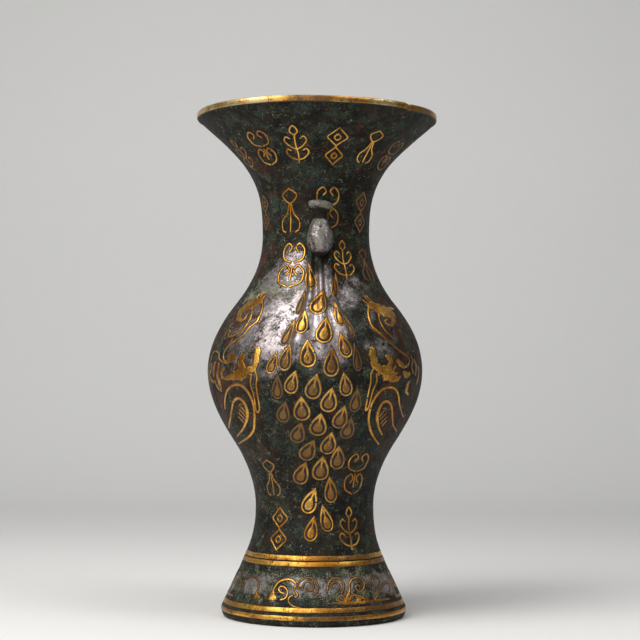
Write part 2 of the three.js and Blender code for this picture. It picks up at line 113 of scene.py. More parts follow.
def outer_radius(z):
    """Radius of the casting's outside at a height, one smooth cubic between each two stations."""
    z = np.asarray(z, float)
    heights, radii, leans = np.array(STATIONS).T
    k = np.clip(np.searchsorted(heights, z, side="right") - 1, 0, len(heights) - 2)
    span = heights[k + 1] - heights[k]
    t = (z - heights[k]) / span
    radius = (2 * t**3 - 3 * t**2 + 1) * radii[k] + (3 * t**2 - 2 * t**3) * radii[k + 1]
    radius += (t**3 - 2 * t**2 + t) * span * leans[k] + (t**3 - t**2) * span * leans[k + 1]
    under = np.clip((heights[0] - z) / heights[0], 0.0, 1.0)
    return np.where(z < heights[0], radii[0] - HEEL * (1 - np.sqrt(1 - under**2)), radius)


def lean(z):
    return (outer_radius(z + 0.01) - outer_radius(z - 0.01)) / 0.02


def hole_depth(azimuth, z):
    """How deep each point lies in a casting hole, from 0 to 1."""
    rng = np.random.default_rng(HOLE_SEED)
    count = settings("casting").small_holes
    strewn = np.stack([rng.uniform(low, high, count) for low, high in STREWN], -1)
    front = np.array(HOLES)
    depth = 0.0 * (azimuth + z)
    for hole_azimuth, hole_z, radius in np.vstack([front, front + (180.0, 0.0, 0.0), strewn]):
        if z.min() - HOLE_REACH < hole_z < z.max() + HOLE_REACH:
            aside = np.radians(turned(azimuth, hole_azimuth)) * float(outer_radius(hole_z)) * HOLE_STRETCH
            depth = np.maximum(depth, np.exp(-((aside**2 + (z - hole_z) ** 2) / radius**2)))
    return depth


def unevenness(azimuth, z):
    """How far the hand-finished casting swells or sinks from a true turned form."""
    a = np.radians(azimuth)
    swell = 0.45 * np.sin(2 * a + z / 31.0) + 0.3 * np.sin(3 * a - z / 19.0 + 1.1)
    swell = swell + 0.2 * np.sin(7 * a + z / 9.0 + 2.0) + 0.16 * np.sin(11 * a - z / 6.5)
    swell = swell + 0.1 * np.sin(23 * a + z / 3.1) * np.sin(z / 4.3 - 5 * a)
    size = settings("casting").unevenness / MM
    return size * (swell - 0.2 - smooth_step((z - 280.0) / 30.0)) * smooth_step((z - 1.0) / 12.0)


def beside_bird(azimuth):
    """Degrees from the nearer bird's middle, positive to its right."""
    return (azimuth - settings("birds").turn + 90.0) % 180.0 - 90.0


def rubbed_and_sheen(azimuth, z):
    """How smooth handling has left the bronze, with painted sheen laid in the same mask: most on the shoulder
    by the birds, a little on the foot.
    """
    away = beside_bird(azimuth)
    # Painted sheen: the skin is weaker to each bird's right and reaches higher on its left, where the lamp's
    # highlight falls. The foot's band is partly painted sheen as well.
    side = 1.0 - 0.7 * smooth_step((np.abs(away) - 44.0) / 24.0) - 0.4 * smooth_step((away - 6.0) / 14.0)
    shoulder = between(z, 128.0, 54.0, 238.0 + 14.0 * bell(away, -27.0, 14.0), 26.0)
    return 0.05 + 0.95 * shoulder * side + 0.66 * between(z, 12.0, 8.0, 36.0, 8.0)


def stained(azimuth, z):
    """Where red oxide has spread: between the strips of the flank panels, and down the sides of the neck."""
    away = np.abs(beside_bird(azimuth))
    flank = smooth_step((away - 28.0) / 14.0) * between(z, 98.0, 16.0, 212.0, 18.0)
    neck = smooth_step((away - 40.0) / 20.0) * between(z, 205.0, 15.0, 302.0, 20.0)
    return np.maximum(flank, 0.9 * neck)


def crusted(azimuth, z):
    """Where a pale crust has stayed: over the shoulder to the left of each bird, and on the foot."""
    away = beside_bird(azimuth)
    left = bell(z - 0.12 * away, 212.0, 7.0) * between(away, -78.0, 15.0, -4.0, 10.0)
    right = 0.5 * bell(z, 207.0, 5.0) * bell(away, 30.0, 9.0)
    return 1.2 * left + right + 0.55 * between(z, 10.0, 8.0, 38.0, 6.0)


def rim_shift(azimuth, z=LIP_Z):
    """How far the lip, and less so the mouth under it, has been knocked down."""
    casting = settings("casting")
    a, past = np.radians(azimuth), turned(azimuth, casting.rim_crack)
    low_after = smooth_step((past + 0.6) / 1.6) * np.exp(-np.maximum(past, 0.0) / 24.0)
    dent = bell(past, 0.0, 1.6) + 0.5 * low_after
    sag = casting.rim_sag / MM * (0.5 + 0.5 * np.sin(a - 0.2))
    ripple = 0.14 + 0.07 * np.sin(5 * a + 0.6) + 0.07 * np.sin(9 * a)
    return -(dent * casting.rim_dent / MM + sag + ripple) * smooth_step((z - 286.0) / 34.0)


def placed(azimuth, radius, height):
    """Points in metres from their azimuths, radii and heights."""
    a = np.radians(azimuth)
    return np.stack(np.broadcast_arrays(radius * np.sin(a), -radius * np.cos(a), height), axis=-1) * MM


def on_wall(azimuth, z, lift, relief=0.0):
    """Points on the casting's outside, lifted square to it over relief that stands level out."""
    slope = lean(z)
    slant = np.hypot(1.0, slope)
    out = lift + unevenness(azimuth, z)
    height = z - out * slope / slant + rim_shift(azimuth, z)
    return placed(azimuth, outer_radius(z) + out / slant + relief, height)


def inside_wall(azimuth, z):
    """Points on the casting's inside, the wall's thickness square from the outside."""
    wall = settings("casting").wall / MM
    radius = outer_radius(z) + unevenness(azimuth, z) - wall * np.hypot(1.0, lean(z))
    return placed(azimuth, radius, z + rim_shift(azimuth, z))


def lip_ring(azimuth, inset, down):
    """Points on the lip, in from its outer face and down from its top."""
    return placed(azimuth, LIP_R - inset + unevenness(azimuth, LIP_Z), LIP_Z - down + rim_shift(azimuth))


class Surface:
    """Gathers the faces of one piece, with what its material reads at each point: how deep it lies in a
    groove or hole, which also carries painted shade on the heads and beside the trains; how worn it is, which
    on the bronze also carries painted sheen; how stained; and how pale its crust or its gold, which also
    carries a painted highlight on the lip's gold and the heads."""

    MARKS = ("groove", "worn", "stain", "pale")

    def __init__(self, materials):
        self.materials = materials
        self.points, self.faces, self.slots = [], [], []
        self.marks = {label: [] for label in self.MARKS}

    def add(self, grid, slot=0, round_rows=False, round_columns=True, **marks):
        rows, columns = grid.shape[:2]
        number = sum(map(len, self.points)) + np.arange(rows * columns).reshape(rows, columns)
        if round_rows:
            number = np.vstack([number, number[:1]])
        if round_columns:
            number = np.hstack([number, number[:, :1]])
        corners = (number[:-1, :-1], number[:-1, 1:], number[1:, 1:], number[1:, :-1])
        self.faces.append(np.stack(corners, axis=-1).reshape(-1, 4))
        self.points.append(grid.reshape(-1, 3))
        self.slots.append(np.full(len(self.faces[-1]), slot))
        for label, values in self.marks.items():
            values.append(np.broadcast_to(marks.get(label, 0.0), (rows, columns)).reshape(-1))

    def build(self, name):
        mesh = bpy.data.meshes.new(name)
        mesh.from_pydata(np.concatenate(self.points).tolist(), [], np.concatenate(self.faces).tolist())
        for label, values in self.marks.items():
            attribute = mesh.attributes.new(label, "FLOAT", "POINT")
            attribute.data.foreach_set("value", np.concatenate(values).astype(np.float32))
        for material in self.materials:
            mesh.materials.append(painted(material))
        mesh.polygons.foreach_set("material_index", np.concatenate(self.slots).astype(np.int32))
        mesh.polygons.foreach_set("use_smooth", np.ones(len(mesh.polygons), bool))
        mesh.update()
        piece = bpy.data.objects.new(name, mesh)
        bpy.context.collection.objects.link(piece)
        return piece


def finish_piece(surface, name, slot, *replaced):
    """Makes the object, sets it on the vase and lets it stand for its CAD nodes."""
    piece = surface.build(name)
    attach(piece, "root")
    if replaced:
        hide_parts(*replaced)


# ---- lines and sheets of gold ----

# Cross-sections of inlay and of the seat under it: place across the half width, lift over the wall, and depth
# of groove.
WIRE = ((-1.0, -0.12, 1.0), (-0.93, 0.04, 0.7), (-0.6, 0.15, 0.0), (0.0, 0.2, 0.0))
SHEET = ((-1.0, -0.12, 1.0), (-0.97, 0.05, 0.8), (-0.82, 0.16, 0.05), (-0.4, 0.2, 0.0), (0.0, 0.21, 0.0))
SEAT = ((-1.0, -0.2, 0.0), (-1.0, 0.02, 0.0), (0.0, 0.035, 0.0))
W, S = WIRE, SHEET
# How far a seat shows past its gold, how much wider the gold lies than it is drawn, how ragged its edges are,
# and how stained a sheet is. Then the steps that round a strip's end, as shares of its half width, the widest
# strip that ends in half circles, and the points between each two stops.
SEAT_MARGIN = 0.42
SPREAD = 1.12
WIRE_RAG, SHEET_RAG = 0.05, 0.15
SHEET_STAIN = 0.7
END_REACH = np.array([1.0, 0.92, 0.7, 0.38])
END_WIDTH = 1.6
PER_SPAN = 6


def smooth_path(stops, per_span, closed=False):
    """A smooth line through its stops, each of any number of values."""
    stops = np.array(stops, float)
    if closed:
        before, after = stops[-1:], stops[:2]
    else:
        before, after = 2 * stops[:1] - stops[1:2], 2 * stops[-1:] - stops[-2:-1]
    p = np.vstack([before, stops, after])
    t = np.linspace(0.0, 1.0, per_span, endpoint=False)[:, None]
    spans = []
    for a, b, c, d in zip(p, p[1:], p[2:], p[3:]):
        curve = 2 * b + (c - a) * t + (2 * a - 5 * b + 4 * c - d) * t**2 + (3 * b - a - 3 * c + d) * t**3
        spans.append(curve / 2)
    return np.vstack(spans if closed else [*spans, stops[-1:]])


def ribbon(surface, line, section, worn, closed=False):
    """Lays a strip along a line of (azimuth, height, width), with the dark edge of its seat. Its edges are
    ragged, each in its own way, and a sheet's more than a wire's."""
    azimuth, z, width = line.T
    radius, slant = outer_radius(z), np.hypot(1.0, lean(z))
    if closed:
        along = np.roll([azimuth, z], -1, 1) - np.roll([azimuth, z], 1, 1)
    else:
        along = np.gradient([azimuth, z], axis=1)
    run, rise = np.radians(along[0]) * radius, along[1] * slant
    reach = np.maximum(np.hypot(run, rise), 1e-9)
    run, rise = run / reach, rise / reach
    if not closed:
        azimuth, z, width, run, rise = rounded_ends(azimuth, z, width, run, rise, radius, slant)
        radius, slant = outer_radius(z), np.hypot(1.0, lean(z))
    turns, climbs = np.diff([azimuth, z], axis=1, prepend=[azimuth[:1], z[:1]])
    place = np.cumsum(np.hypot(np.radians(turns) * radius, climbs * slant))[:, None] + azimuth[0] + z[0]
    rag, stain = (SHEET_RAG, SHEET_STAIN) if section is SHEET else (WIRE_RAG, 0.0)
    for slot, half, margin in ((0, section, 0.0), (1, SEAT, SEAT_MARGIN)):
        u, lift, groove = np.array(half + tuple((-u, lift, groove) for u, lift, groove in half[-2::-1])).T
        edge = place * 1.1 + np.where(u < 0, 0.0, 2.4)
        ragged = 1.0 + rag * (np.sin(edge) + 0.6 * np.sin(2.7 * edge + 1.0))
        across = u * (SPREAD * width[:, None] / 2 * ragged + margin)
        a = azimuth[:, None] - np.degrees(rise[:, None] * across / radius[:, None])
        h = z[:, None] + run[:, None] * across / slant[:, None]
        surface.add(on_wall(a, h, lift), slot, round_rows=closed, groove=groove, worn=worn, stain=stain)


def rounded_ends(azimuth, z, width, run, rise, radius, slant):
    """Carries an open line on past both its ends in half circles, or flatter where it is wide."""
    taper = np.sqrt(1 - END_REACH**2) + 0.02
    ends = []
    for k, sign, order in ((0, -1, slice(None)), (-1, 1, slice(None, None, -1))):
        step = sign * END_REACH[order] * min(width[k], END_WIDTH) / 2
        beyond = azimuth[k] + np.degrees(run[k] * step / radius[k]), z[k] + rise[k] * step / slant[k]
        ends.append((*beyond, width[k] * taper[order], np.full(4, run[k]), np.full(4, rise[k])))
    return [np.concatenate(parts) for parts in zip(ends[0], (azimuth, z, width, run, rise), ends[1])]


def lay_strips(surface, strips, place):
    """Lays wires and sheets, with place giving each stop's (azimuth, height, width) on the vase."""
    for section, worn, stops in strips:
        closed = stops[0] == stops[-1]
        line = [place(*stop) for stop in (stops[:-1] if closed else stops)]
        ribbon(surface, smooth_path(line, PER_SPAN, closed), section, worn, closed)


# ---- the casting ----

# Bottom and top of each cut for the foot bands, and how soft its edges are.
BAND_CUTS = ((3.6, 7.2), (8.5, 12.1), (35.3, 42.5))
CUT_EDGE = 0.4
# Rings of the lip's tongue as (in from the lip's face, down from its top), and level rings as (radius,
# height) of the floor's top, its underside and the foot's rim.
TONGUE = ((1.3, 3.8), (1.5, 1.4), (2.6, 1.3), (3.2, 1.6))
FLOOR_RINGS = ((36.6, 51.2), (34.5, 50.2), (26.0, 50.0), (12.0, 50.0), (0.1, 50.0))
UNDER_RINGS = ((0.1, 47.0), (14.0, 47.0), (30.0, 47.0), (37.6, 46.7))
RIM_RINGS = ((54.8, 2.0), (54.0, 0.4), (54.6, 0.0), (56.8, 0.0))


def make_casting():
    casting = settings("casting")
    turns = np.linspace(0.0, 360.0, casting.sides, endpoint=False)
    z = np.concatenate([np.linspace(0.0, 6.0, 12), np.arange(6.4, MOUTH_Z + 0.2, casting.step / MM)])[:, None]
    inner_z = np.linspace(MOUTH_Z, FLOOR_RINGS[0][1], 150)[:, None]
    foot_z = np.linspace(UNDER_RINGS[-1][1], RIM_RINGS[0][1], 30)[:, None]
    cut = sum(between(z, bottom, CUT_EDGE, top, CUT_EDGE) for bottom, top in BAND_CUTS)
    holes = hole_depth(turns, z)
    outside = on_wall(turns, z, -cut * settings("gold").groove_depth / MM - 0.45 * holes)
    tongue = [lip_ring(turns, inset, down) for inset, down in TONGUE]
    surface = Surface(BRONZE)
    marks = {"worn": rubbed_and_sheen(turns, z), "stain": stained(turns, z), "pale": crusted(turns, z)}
    surface.add(outside, groove=np.minimum(1.4 * holes, 1.0), **marks)
    surface.add(np.stack([outside[-1], *tongue, *inside_wall(turns, inner_z)]), worn=0.2)
    floor, under, rim = (
        np.stack([placed(turns, radius, height) for radius, height in rings])
        for rings in (FLOOR_RINGS, UNDER_RINGS, RIM_RINGS)
    )
    for grid in (floor, under, inside_wall(turns, foot_z), rim):
        surface.add(grid)
    finish_piece(surface, "cast_body", "bronze", "cast_shell", "floor_disc")


# ---- gold on the lip and the foot ----

# Each foot band's bottom, the azimuth of its seam, and where it is dullest. Then the gap at a seam, and a
# band's section from its bottom round: share of its width and depth in the groove.
FOOT_BANDS = ((3.9, 19.0, 14.0), (8.8, -15.0, 40.0), (35.6, 150.0, 70.0), (39.2, -9.0, 34.0))
BAND_GAP = 0.35
BAND_SHARES = (0.0, 1.0, 0.985, 0.9, 0.5, 0.1, 0.015)
BAND_GROOVE = (1, 1, 0.8, 0.1, 0, 0.1, 0.8)


def make_foot_bands():
    gold = settings("gold")
    proud, width = gold.proud / MM, gold.band_width / MM
    lift = np.array((-0.6, -0.6, proud - 0.1, proud, proud + 0.04, proud, proud - 0.1))
    for number, (bottom, seam, dullest) in enumerate(FOOT_BANDS, 1):
        half = math.degrees(BAND_GAP / 2 / float(outer_radius(bottom)))
        turns = np.linspace(seam + half, seam + 360.0 - half, 300)[:, None]
        ripple = 0.05 * np.sin(np.radians(turns) * 13) + 0.04 * np.sin(np.radians(turns) * 29 + 1.0)
        stain = 1.3 * np.cos(np.radians(turns - dullest)) ** 6
        surface = Surface(GOLD)
        grid = on_wall(turns, bottom + np.array(BAND_SHARES) * width + ripple, lift)
        surface.add(grid, groove=BAND_GROOVE, worn=0.5 * stain, stain=stain)
        finish_piece(surface, f"gold_foot_band_{number}", "gold", f"foot_band_{number}")


# The lip's section: in from its outer face, down from its top, and depth in the groove.
LIP_SECTION = (
    (2.4, 4.3, 1), (0.5, 4.2, 1), (0.3, 3.9, 1), (0.1, 3.7, 0.4), (0, 3.3, 0), (0, 1.8, 0), (0.06, 0.8, 0),
    (0.4, 0.18, 0), (1.1, 0, 0), (2.2, 0.02, 0), (3, 0.16, 0), (3.45, 0.6, 0.1), (3.5, 1.3, 0.9),
    (2, 1.5, 1),
)
# Where a fine joint crosses the lip's gold.
LIP_JOINT = -8.0


def make_lip_binding():
    seam = settings("gold").lip_seam
    turns = np.linspace(seam + 0.1, seam + 359.9, 720)
    a = np.radians(turns)
    ripple = 0.05 * np.sin(a * 17) * np.sin(a * 5 + 1.0)
    rings, grooves = [], []
    for inset, down, groove in LIP_SECTION:
        crack = bell(turned(turns, settings("casting").rim_crack) + 0.5 * (down - 2.0), 0.0, 0.45)
        cut = np.minimum(crack + 0.35 * bell(turned(turns, LIP_JOINT), 0.0, 0.3), 1.0)
        rings.append(lip_ring(turns, inset + 0.05 + ripple + 0.4 * cut, down + 0.3 * crack))
        grooves.append(np.minimum(groove + cut, 1.0))
    away = turned(turns)[:, None]
    # The front middle is made browner and duller. Below, a painted highlight of pale gold is laid left of the
    # front and to its right, where the lamps would shine on the lip.
    brown = bell(away, -3.0, 11.0, 4)
    thin = 0.12 + 0.7 * brown + 0.1 * np.sin(np.radians(away) * 23)
    thin = thin + 0.6 * bell(away, 62.0, 14.0) + 0.4 * bell(away, 160.0, 20.0)
    bright = bell(away, -52.0, 30.0, 4) + 0.8 * bell(away, 28.0, 15.0, 4)
    surface = Surface(GOLD)
    marks = {"worn": np.clip(thin, 0.0, 1.0), "stain": 1.3 * brown, "pale": bright}
    surface.add(np.stack(rings, 1), groove=np.stack(grooves, 1), **marks)
    finish_piece(surface, "gold_lip_binding", "gold", "lip_binding")


# The frieze in front of each bird, from the left. Each strip is wire or sheet, has its wear, and goes through
# stops of azimuth, height and width. A stop that comes first and last closes the strip.
FRIEZE = (
    (S, 0, ((-41.7, 19.2, 0.6), (-41.4, 18, 2), (-41, 16.9, 4.2), (-40.8, 15.9, 5.6))),
    (W, 0.75, ((-57.7, 26.6, 0.8), (-53.9, 27.9, 0.9), (-48.2, 27.9, 0.9), (-43.4, 25.8, 0.9),
        (-41.4, 22.8, 0.9), (-41.2, 19.4, 1))),
    (W, 0.85, ((-59.8, 20, 0.8), (-63.6, 22.9, 0.9), (-60.8, 24.4, 0.9), (-57.1, 22.7, 0.9),
        (-58.2, 20.8, 0.8))),
    (S, 0, ((-28.4, 21.5, 0.8), (-28.2, 19.4, 2.6), (-28.1, 17.7, 4.6), (-28.1, 16.3, 6.2))),
    (W, 0, ((-28.4, 21.5, 1.1), (-27.5, 23.7, 1.2), (-25.6, 26.1, 1.3), (-22.5, 27.5, 1.3),
        (-18.6, 28.1, 1.3), (-15.5, 27.7, 1.3), (-13.4, 26.4, 1.2))),
    (W, 0.05, ((-20.5, 19.8, 0.8), (-22.9, 20.5, 0.9), (-24.5, 22.1, 0.9), (-23.7, 23.6, 0.9),
        (-21.4, 23.8, 0.9), (-18.9, 22.5, 0.9), (-17.7, 20.4, 0.9), (-18, 18, 0.9), (-19.6, 16.6, 0.9),
        (-21.9, 16, 0.8))),
    (W, 0.5, ((-13.4, 26.4, 1.1), (-12.1, 24.9, 1), (-13.2, 23.3, 0.9), (-12.1, 21.1, 0.9),
        (-10.5, 19.2, 1), (-11.7, 18, 0.9), (-14.1, 18.7, 0.9), (-15.8, 17.8, 0.9), (-16.3, 16.1, 0.9),
        (-15, 14, 0.9), (-11.9, 12.5, 0.9), (-7.5, 11.5, 0.8))),
    (W, 0.7, ((-10.1, 22.7, 0.8), (-10.8, 25.4, 0.9), (-9.1, 27.7, 1), (-5.8, 29.2, 1), (-1.9, 29.2, 1),
        (1.4, 27.4, 1), (3, 24.2, 0.9), (2.3, 21.3, 0.9), (0, 19.6, 0.8))),
    (W, 0.8, ((-7.4, 22.8, 0.8), (-7, 25.6, 0.9), (-3.9, 27.3, 0.9), (-1, 26.2, 0.9), (0.1, 23.9, 0.9),
        (-1.3, 22, 0.9), (-3.5, 22, 0.9), (-4.7, 23.6, 0.8))),
    (W, 0.55, ((9.3, 22.1, 0.8), (10.3, 25.4, 0.9), (12.5, 28, 1), (16.6, 29, 1.1), (20, 27.8, 1.1),
        (21.4, 25.1, 1.1), (20.8, 22.3, 1), (18.8, 19.9, 1), (19.9, 17.5, 1.2))),
    (W, 0.7, ((13.1, 22.8, 0.8), (12.2, 24.9, 0.9), (14.4, 26.4, 0.9), (17.1, 25.8, 0.9), (18, 23.6, 0.9),
        (16.3, 21.8, 0.8))),
    (S, 0.1, ((12.8, 14.6, 1), (19.3, 14.1, 1.5), (26.6, 14.1, 1.6), (34.6, 14.2, 1.6), (43.7, 14.4, 1.5),
        (57.9, 14.4, 1.2))),
    (W, 0.1, ((20.7, 16.9, 0.7), (19.7, 15.5, 0.7), (18.1, 15.1, 0.7), (16.7, 15.6, 0.7), (16.2, 17, 0.7),
        (17.1, 18.4, 0.7), (18.7, 18.8, 0.7), (20.2, 18.3, 0.7), (20.7, 16.9, 0.7))),
    (W, 0.1, ((29.4, 16.2, 0.7), (28.2, 14.8, 0.7), (26.2, 14.3, 0.7), (24.6, 15, 0.7), (24.2, 16.5, 0.7),
        (25.3, 18, 0.7), (27.3, 18.4, 0.7), (29, 17.8, 0.7), (29.4, 16.2, 0.7))),
    (W, 0.1, ((34.6, 15.2, 0.6), (33.7, 14.4, 0.6), (32.6, 14.2, 0.6), (31.5, 14.6, 0.6), (31.3, 15.4, 0.6),
        (32.1, 16.2, 0.6), (33.3, 16.5, 0.6), (34.3, 16.1, 0.6), (34.6, 15.2, 0.6))),
    (S, 0.05, ((25.4, 22.4, 1), (24.3, 20.1, 1.3), (22.9, 17.8, 2), (22, 14.9, 3.2))),
    (S, 0.05, ((27, 19.3, 0.9), (30.2, 18.4, 1.4), (30.8, 16.2, 1.8), (29.9, 14.5, 2.4))),
    (S, 0.1, ((30.9, 18.2, 1), (34.5, 16.9, 1.4), (38.7, 14.5, 1.8))),
    (W, 0, ((25.4, 22.4, 1.1), (25.2, 23.7, 1.2), (26.7, 26.4, 1.2), (30, 28.2, 1.2), (34, 28.6, 1.2),
        (37.5, 27, 1.1), (38, 24.2, 1), (35.7, 21.4, 1), (32.4, 20.5, 0.9), (30.4, 21.7, 0.9),
        (30.4, 23.6, 0.9), (32.5, 24.5, 0.8), (33.6, 23.4, 0.7))),
    (W, 0.1, ((38.5, 24.8, 0.8), (39.8, 25.7, 0.8), (41.5, 25.9, 0.6))),
    (W, 0.55, ((46.6, 22.2, 0.8), (49.5, 21.8, 0.9), (53.5, 23.9, 0.9), (54.6, 26.8, 1), (52, 28.8, 1),
        (47, 27.9, 1), (43.6, 24.9, 1), (43.5, 21.8, 0.9))),
    (W, 0.4, ((43.5, 14.9, 1.6), (48.8, 18.5, 1.3), (54.8, 22, 1.2), (61.3, 23.8, 1.1), (66.6, 22.8, 1),
        (65.4, 19.6, 0.9), (60.3, 17.7, 0.8))),
)
# One plain scroll of the frieze at the sides: share of the pitch, height and width.
SCROLL = (
    (0.06, 14.6, 2.4), (0.1, 18.5, 1.3), (0.16, 23.0, 1.1), (0.34, 27.4, 1.1), (0.62, 28.2, 1.1),
    (0.86, 25.6, 1.0), (0.84, 21.6, 0.9), (0.62, 20.0, 0.9), (0.46, 22.0, 0.9), (0.54, 24.2, 0.8),
)
# The wear of the scrolls at each side, and the azimuth where they end.
SIDE_WEAR = (0.2, 0.45, 0.7)
SIDE_END = 114.0


def make_foot_frieze():
    surface = Surface(INLAY)
    for turn in (0.0, 180.0):
        lay_strips(surface, FRIEZE, lambda a, z, width: (turn + a, z, width if width > 1.5 else 0.8 * width))
        start = turn + settings("gold").side_scrolls_from
        pitch = (turn + SIDE_END - start) / len(SIDE_WEAR)
        for i, worn in enumerate(SIDE_WEAR):
            strips = [(WIRE, worn, SCROLL)]
            lay_strips(surface, strips, lambda share, z, width: (start + (i + share) * pitch, z, width))
        floor = [(SHEET, 0.45, ((0, 14.4, 1.2), (1, 14.5, 1.6), (2.9, 14.6, 1.2)))]
        lay_strips(surface, floor, lambda share, z, width: (start + share * pitch, z, width))
    finish_piece(surface, "gold_foot_frieze", "gold", "foot_frieze")


# ---- the peacocks ----

# The folded train from its top down: height, half width and how far it stands out.
TRAIN_ROWS = (
    (252, 3.6, 1), (240, 6, 3), (231, 8, 4.6), (206, 8.8, 5.2), (193, 13, 4.3), (181, 18, 3.4),
    (169, 23, 2.4), (157, 26.5, 1.2), (146, 27.5, 0),
)
# The crest and the head, from the dish of the crest down: rise over the head's widest part, half width, and
# how far front and back stand out from the neck.
HEAD_SECTIONS = (
    (23.2, 2, 7.4, 5), (24.2, 5.4, 9.2, 3.6), (24.9, 7, 10.4, 2.8), (24.4, 7.7, 11, 2.4),
    (23, 7.7, 11, 2.2), (21.7, 7.1, 10.3, 2), (20.6, 5.9, 9, 1.6), (19, 5, 8.2, 0.8), (17, 4.3, 7.7, -0.4),
    (14.8, 4.4, 8.1, -1.6), (11.6, 5.5, 9.9, -2), (7, 7.4, 12.2, -2), (1.5, 8.4, 13.5, -2),
    (-3.4, 7.6, 13.1, -0.4), (-6.8, 5.2, 12.2, 2.6), (-9, 2.9, 11, 5.6), (-10.2, 0.6, 9.9, 8),
)
CREST_TILT = -0.11
CREST_ARCH = 0.02
DENT_DEPTH = 0.24


def bird_turns():
    turn = settings("birds").turn
    return {"front": turn, "back": turn + 180.0}


def train_size(z):
    """Half width of the train at a height, and how far it stands out there."""
    heights, halves, rises = np.array(TRAIN_ROWS)[::-1].T
    return np.interp(z, heights, halves), np.interp(z, heights, rises)


def train_lift(azimuth, z, turn):
    """How far the folded train stands out from the shoulder of the bird that faces a turn."""
    half, rise = train_size(z)
    across = np.abs(np.radians(turned(azimuth, turn)) * outer_radius(z) / half)
    folds = 0.74 + 0.26 * np.cos(3 * math.pi * np.minimum(across, 1.0))
    sunk = -0.25 * (1.0 - smooth_step((1.12 - across) / 0.1))
    return rise * folds * smooth_step((1.0 - across) / 0.2) + sunk


def make_trains():
    share = np.linspace(-1.15, 1.15, 110)
    rows = np.linspace(146.5, 252.0, 190)[:, None]
    for side, turn in bird_turns().items():
        a = turn + np.degrees(share * train_size(rows)[0] / outer_radius(rows))
        z = rows + 0 * a
        holes = hole_depth(a, z)
        # Painted shade: a dark line in the crease just outside each edge of the train, laid through the
        # groove mark beside the real casting holes.
        painted_crease_shade = 0.55 * bell(np.abs(share), 1.06, 0.07) * smooth_step((z - 150.0) / 20.0)
        marks = {"groove": np.minimum(1.4 * holes + painted_crease_shade, 1.0), "worn": rubbed_and_sheen(a, z)}
        marks["pale"] = 0.4 * crusted(a, z)
        surface = Surface(BRONZE)
        surface.add(on_wall(a, z, -0.5 * holes, train_lift(a, z, turn)), round_columns=False, **marks)
        name = f"{side}_peacock_train"
        finish_piece(surface, f"{name}_relief", "relief_bronze", name)


def make_heads():
    rise, half, front, back = smooth_path(HEAD_SECTIONS, 7).T[:, :, None]
    angle = np.linspace(0.0, 2 * math.pi, 72, endpoint=False)
    across = half * np.sin(angle)
    beak = bell(np.angle(np.exp(1j * angle)), 0.0, 0.4) * smooth_step((4.0 - rise) / 8.0)
    deep = (front - back) / 2 * (np.cos(angle) + 0.12 * beak)
    out = float(outer_radius(NECK_Z)) + (front + back) / 2 + deep
    crest = smooth_step((rise - 15.0) / 6.0)
    z = rise + crest * (CREST_TILT * across - CREST_ARCH * across**2)
    coarse = np.sin(across * 1.1 + z * 0.7) * np.sin(z * 0.9 - out * 0.6)
    out = out + DENT_DEPTH * (coarse + 0.6 * np.sin(across * 2.9 - z * 2.3))
    z = z + settings("birds").head_height / MM
    # Painted shade and highlight: the stem under the crest and the bulb's underside get the dark groove
    # colour and stain and no skin; a band left of the head's middle gets smooth skin and pale crust as a
    # painted highlight, and the crest's pale crust is partly painted highlight too.
    under = between(rise, 12.5, 3.0, 21.5, 2.0)
    dark = np.maximum(under, smooth_step((-4.5 - rise) / 4.0))
    painted_highlight = bell(across, -2.5, 6.0) * (1.0 - dark)
    marks = {"groove": 0.85 * dark, "worn": (0.55 + 0.65 * painted_highlight) * (1.0 - under), "stain": 0.6 * dark}
    marks["pale"] = np.minimum(painted_highlight + crest * (1.0 - under), 1.0)
    for side, turn in bird_turns().items():
        a = math.radians(turn)
        x = across * math.cos(a) + out * math.sin(a)
        y = across * math.sin(a) - out * math.cos(a)
        surface = Surface(BRONZE)
        surface.add(np.stack([x, y, z], -1) * MM, **marks)
        name = f"{side}_peacock_head"
        finish_piece(surface, f"{name}_cast", "relief_bronze", name)


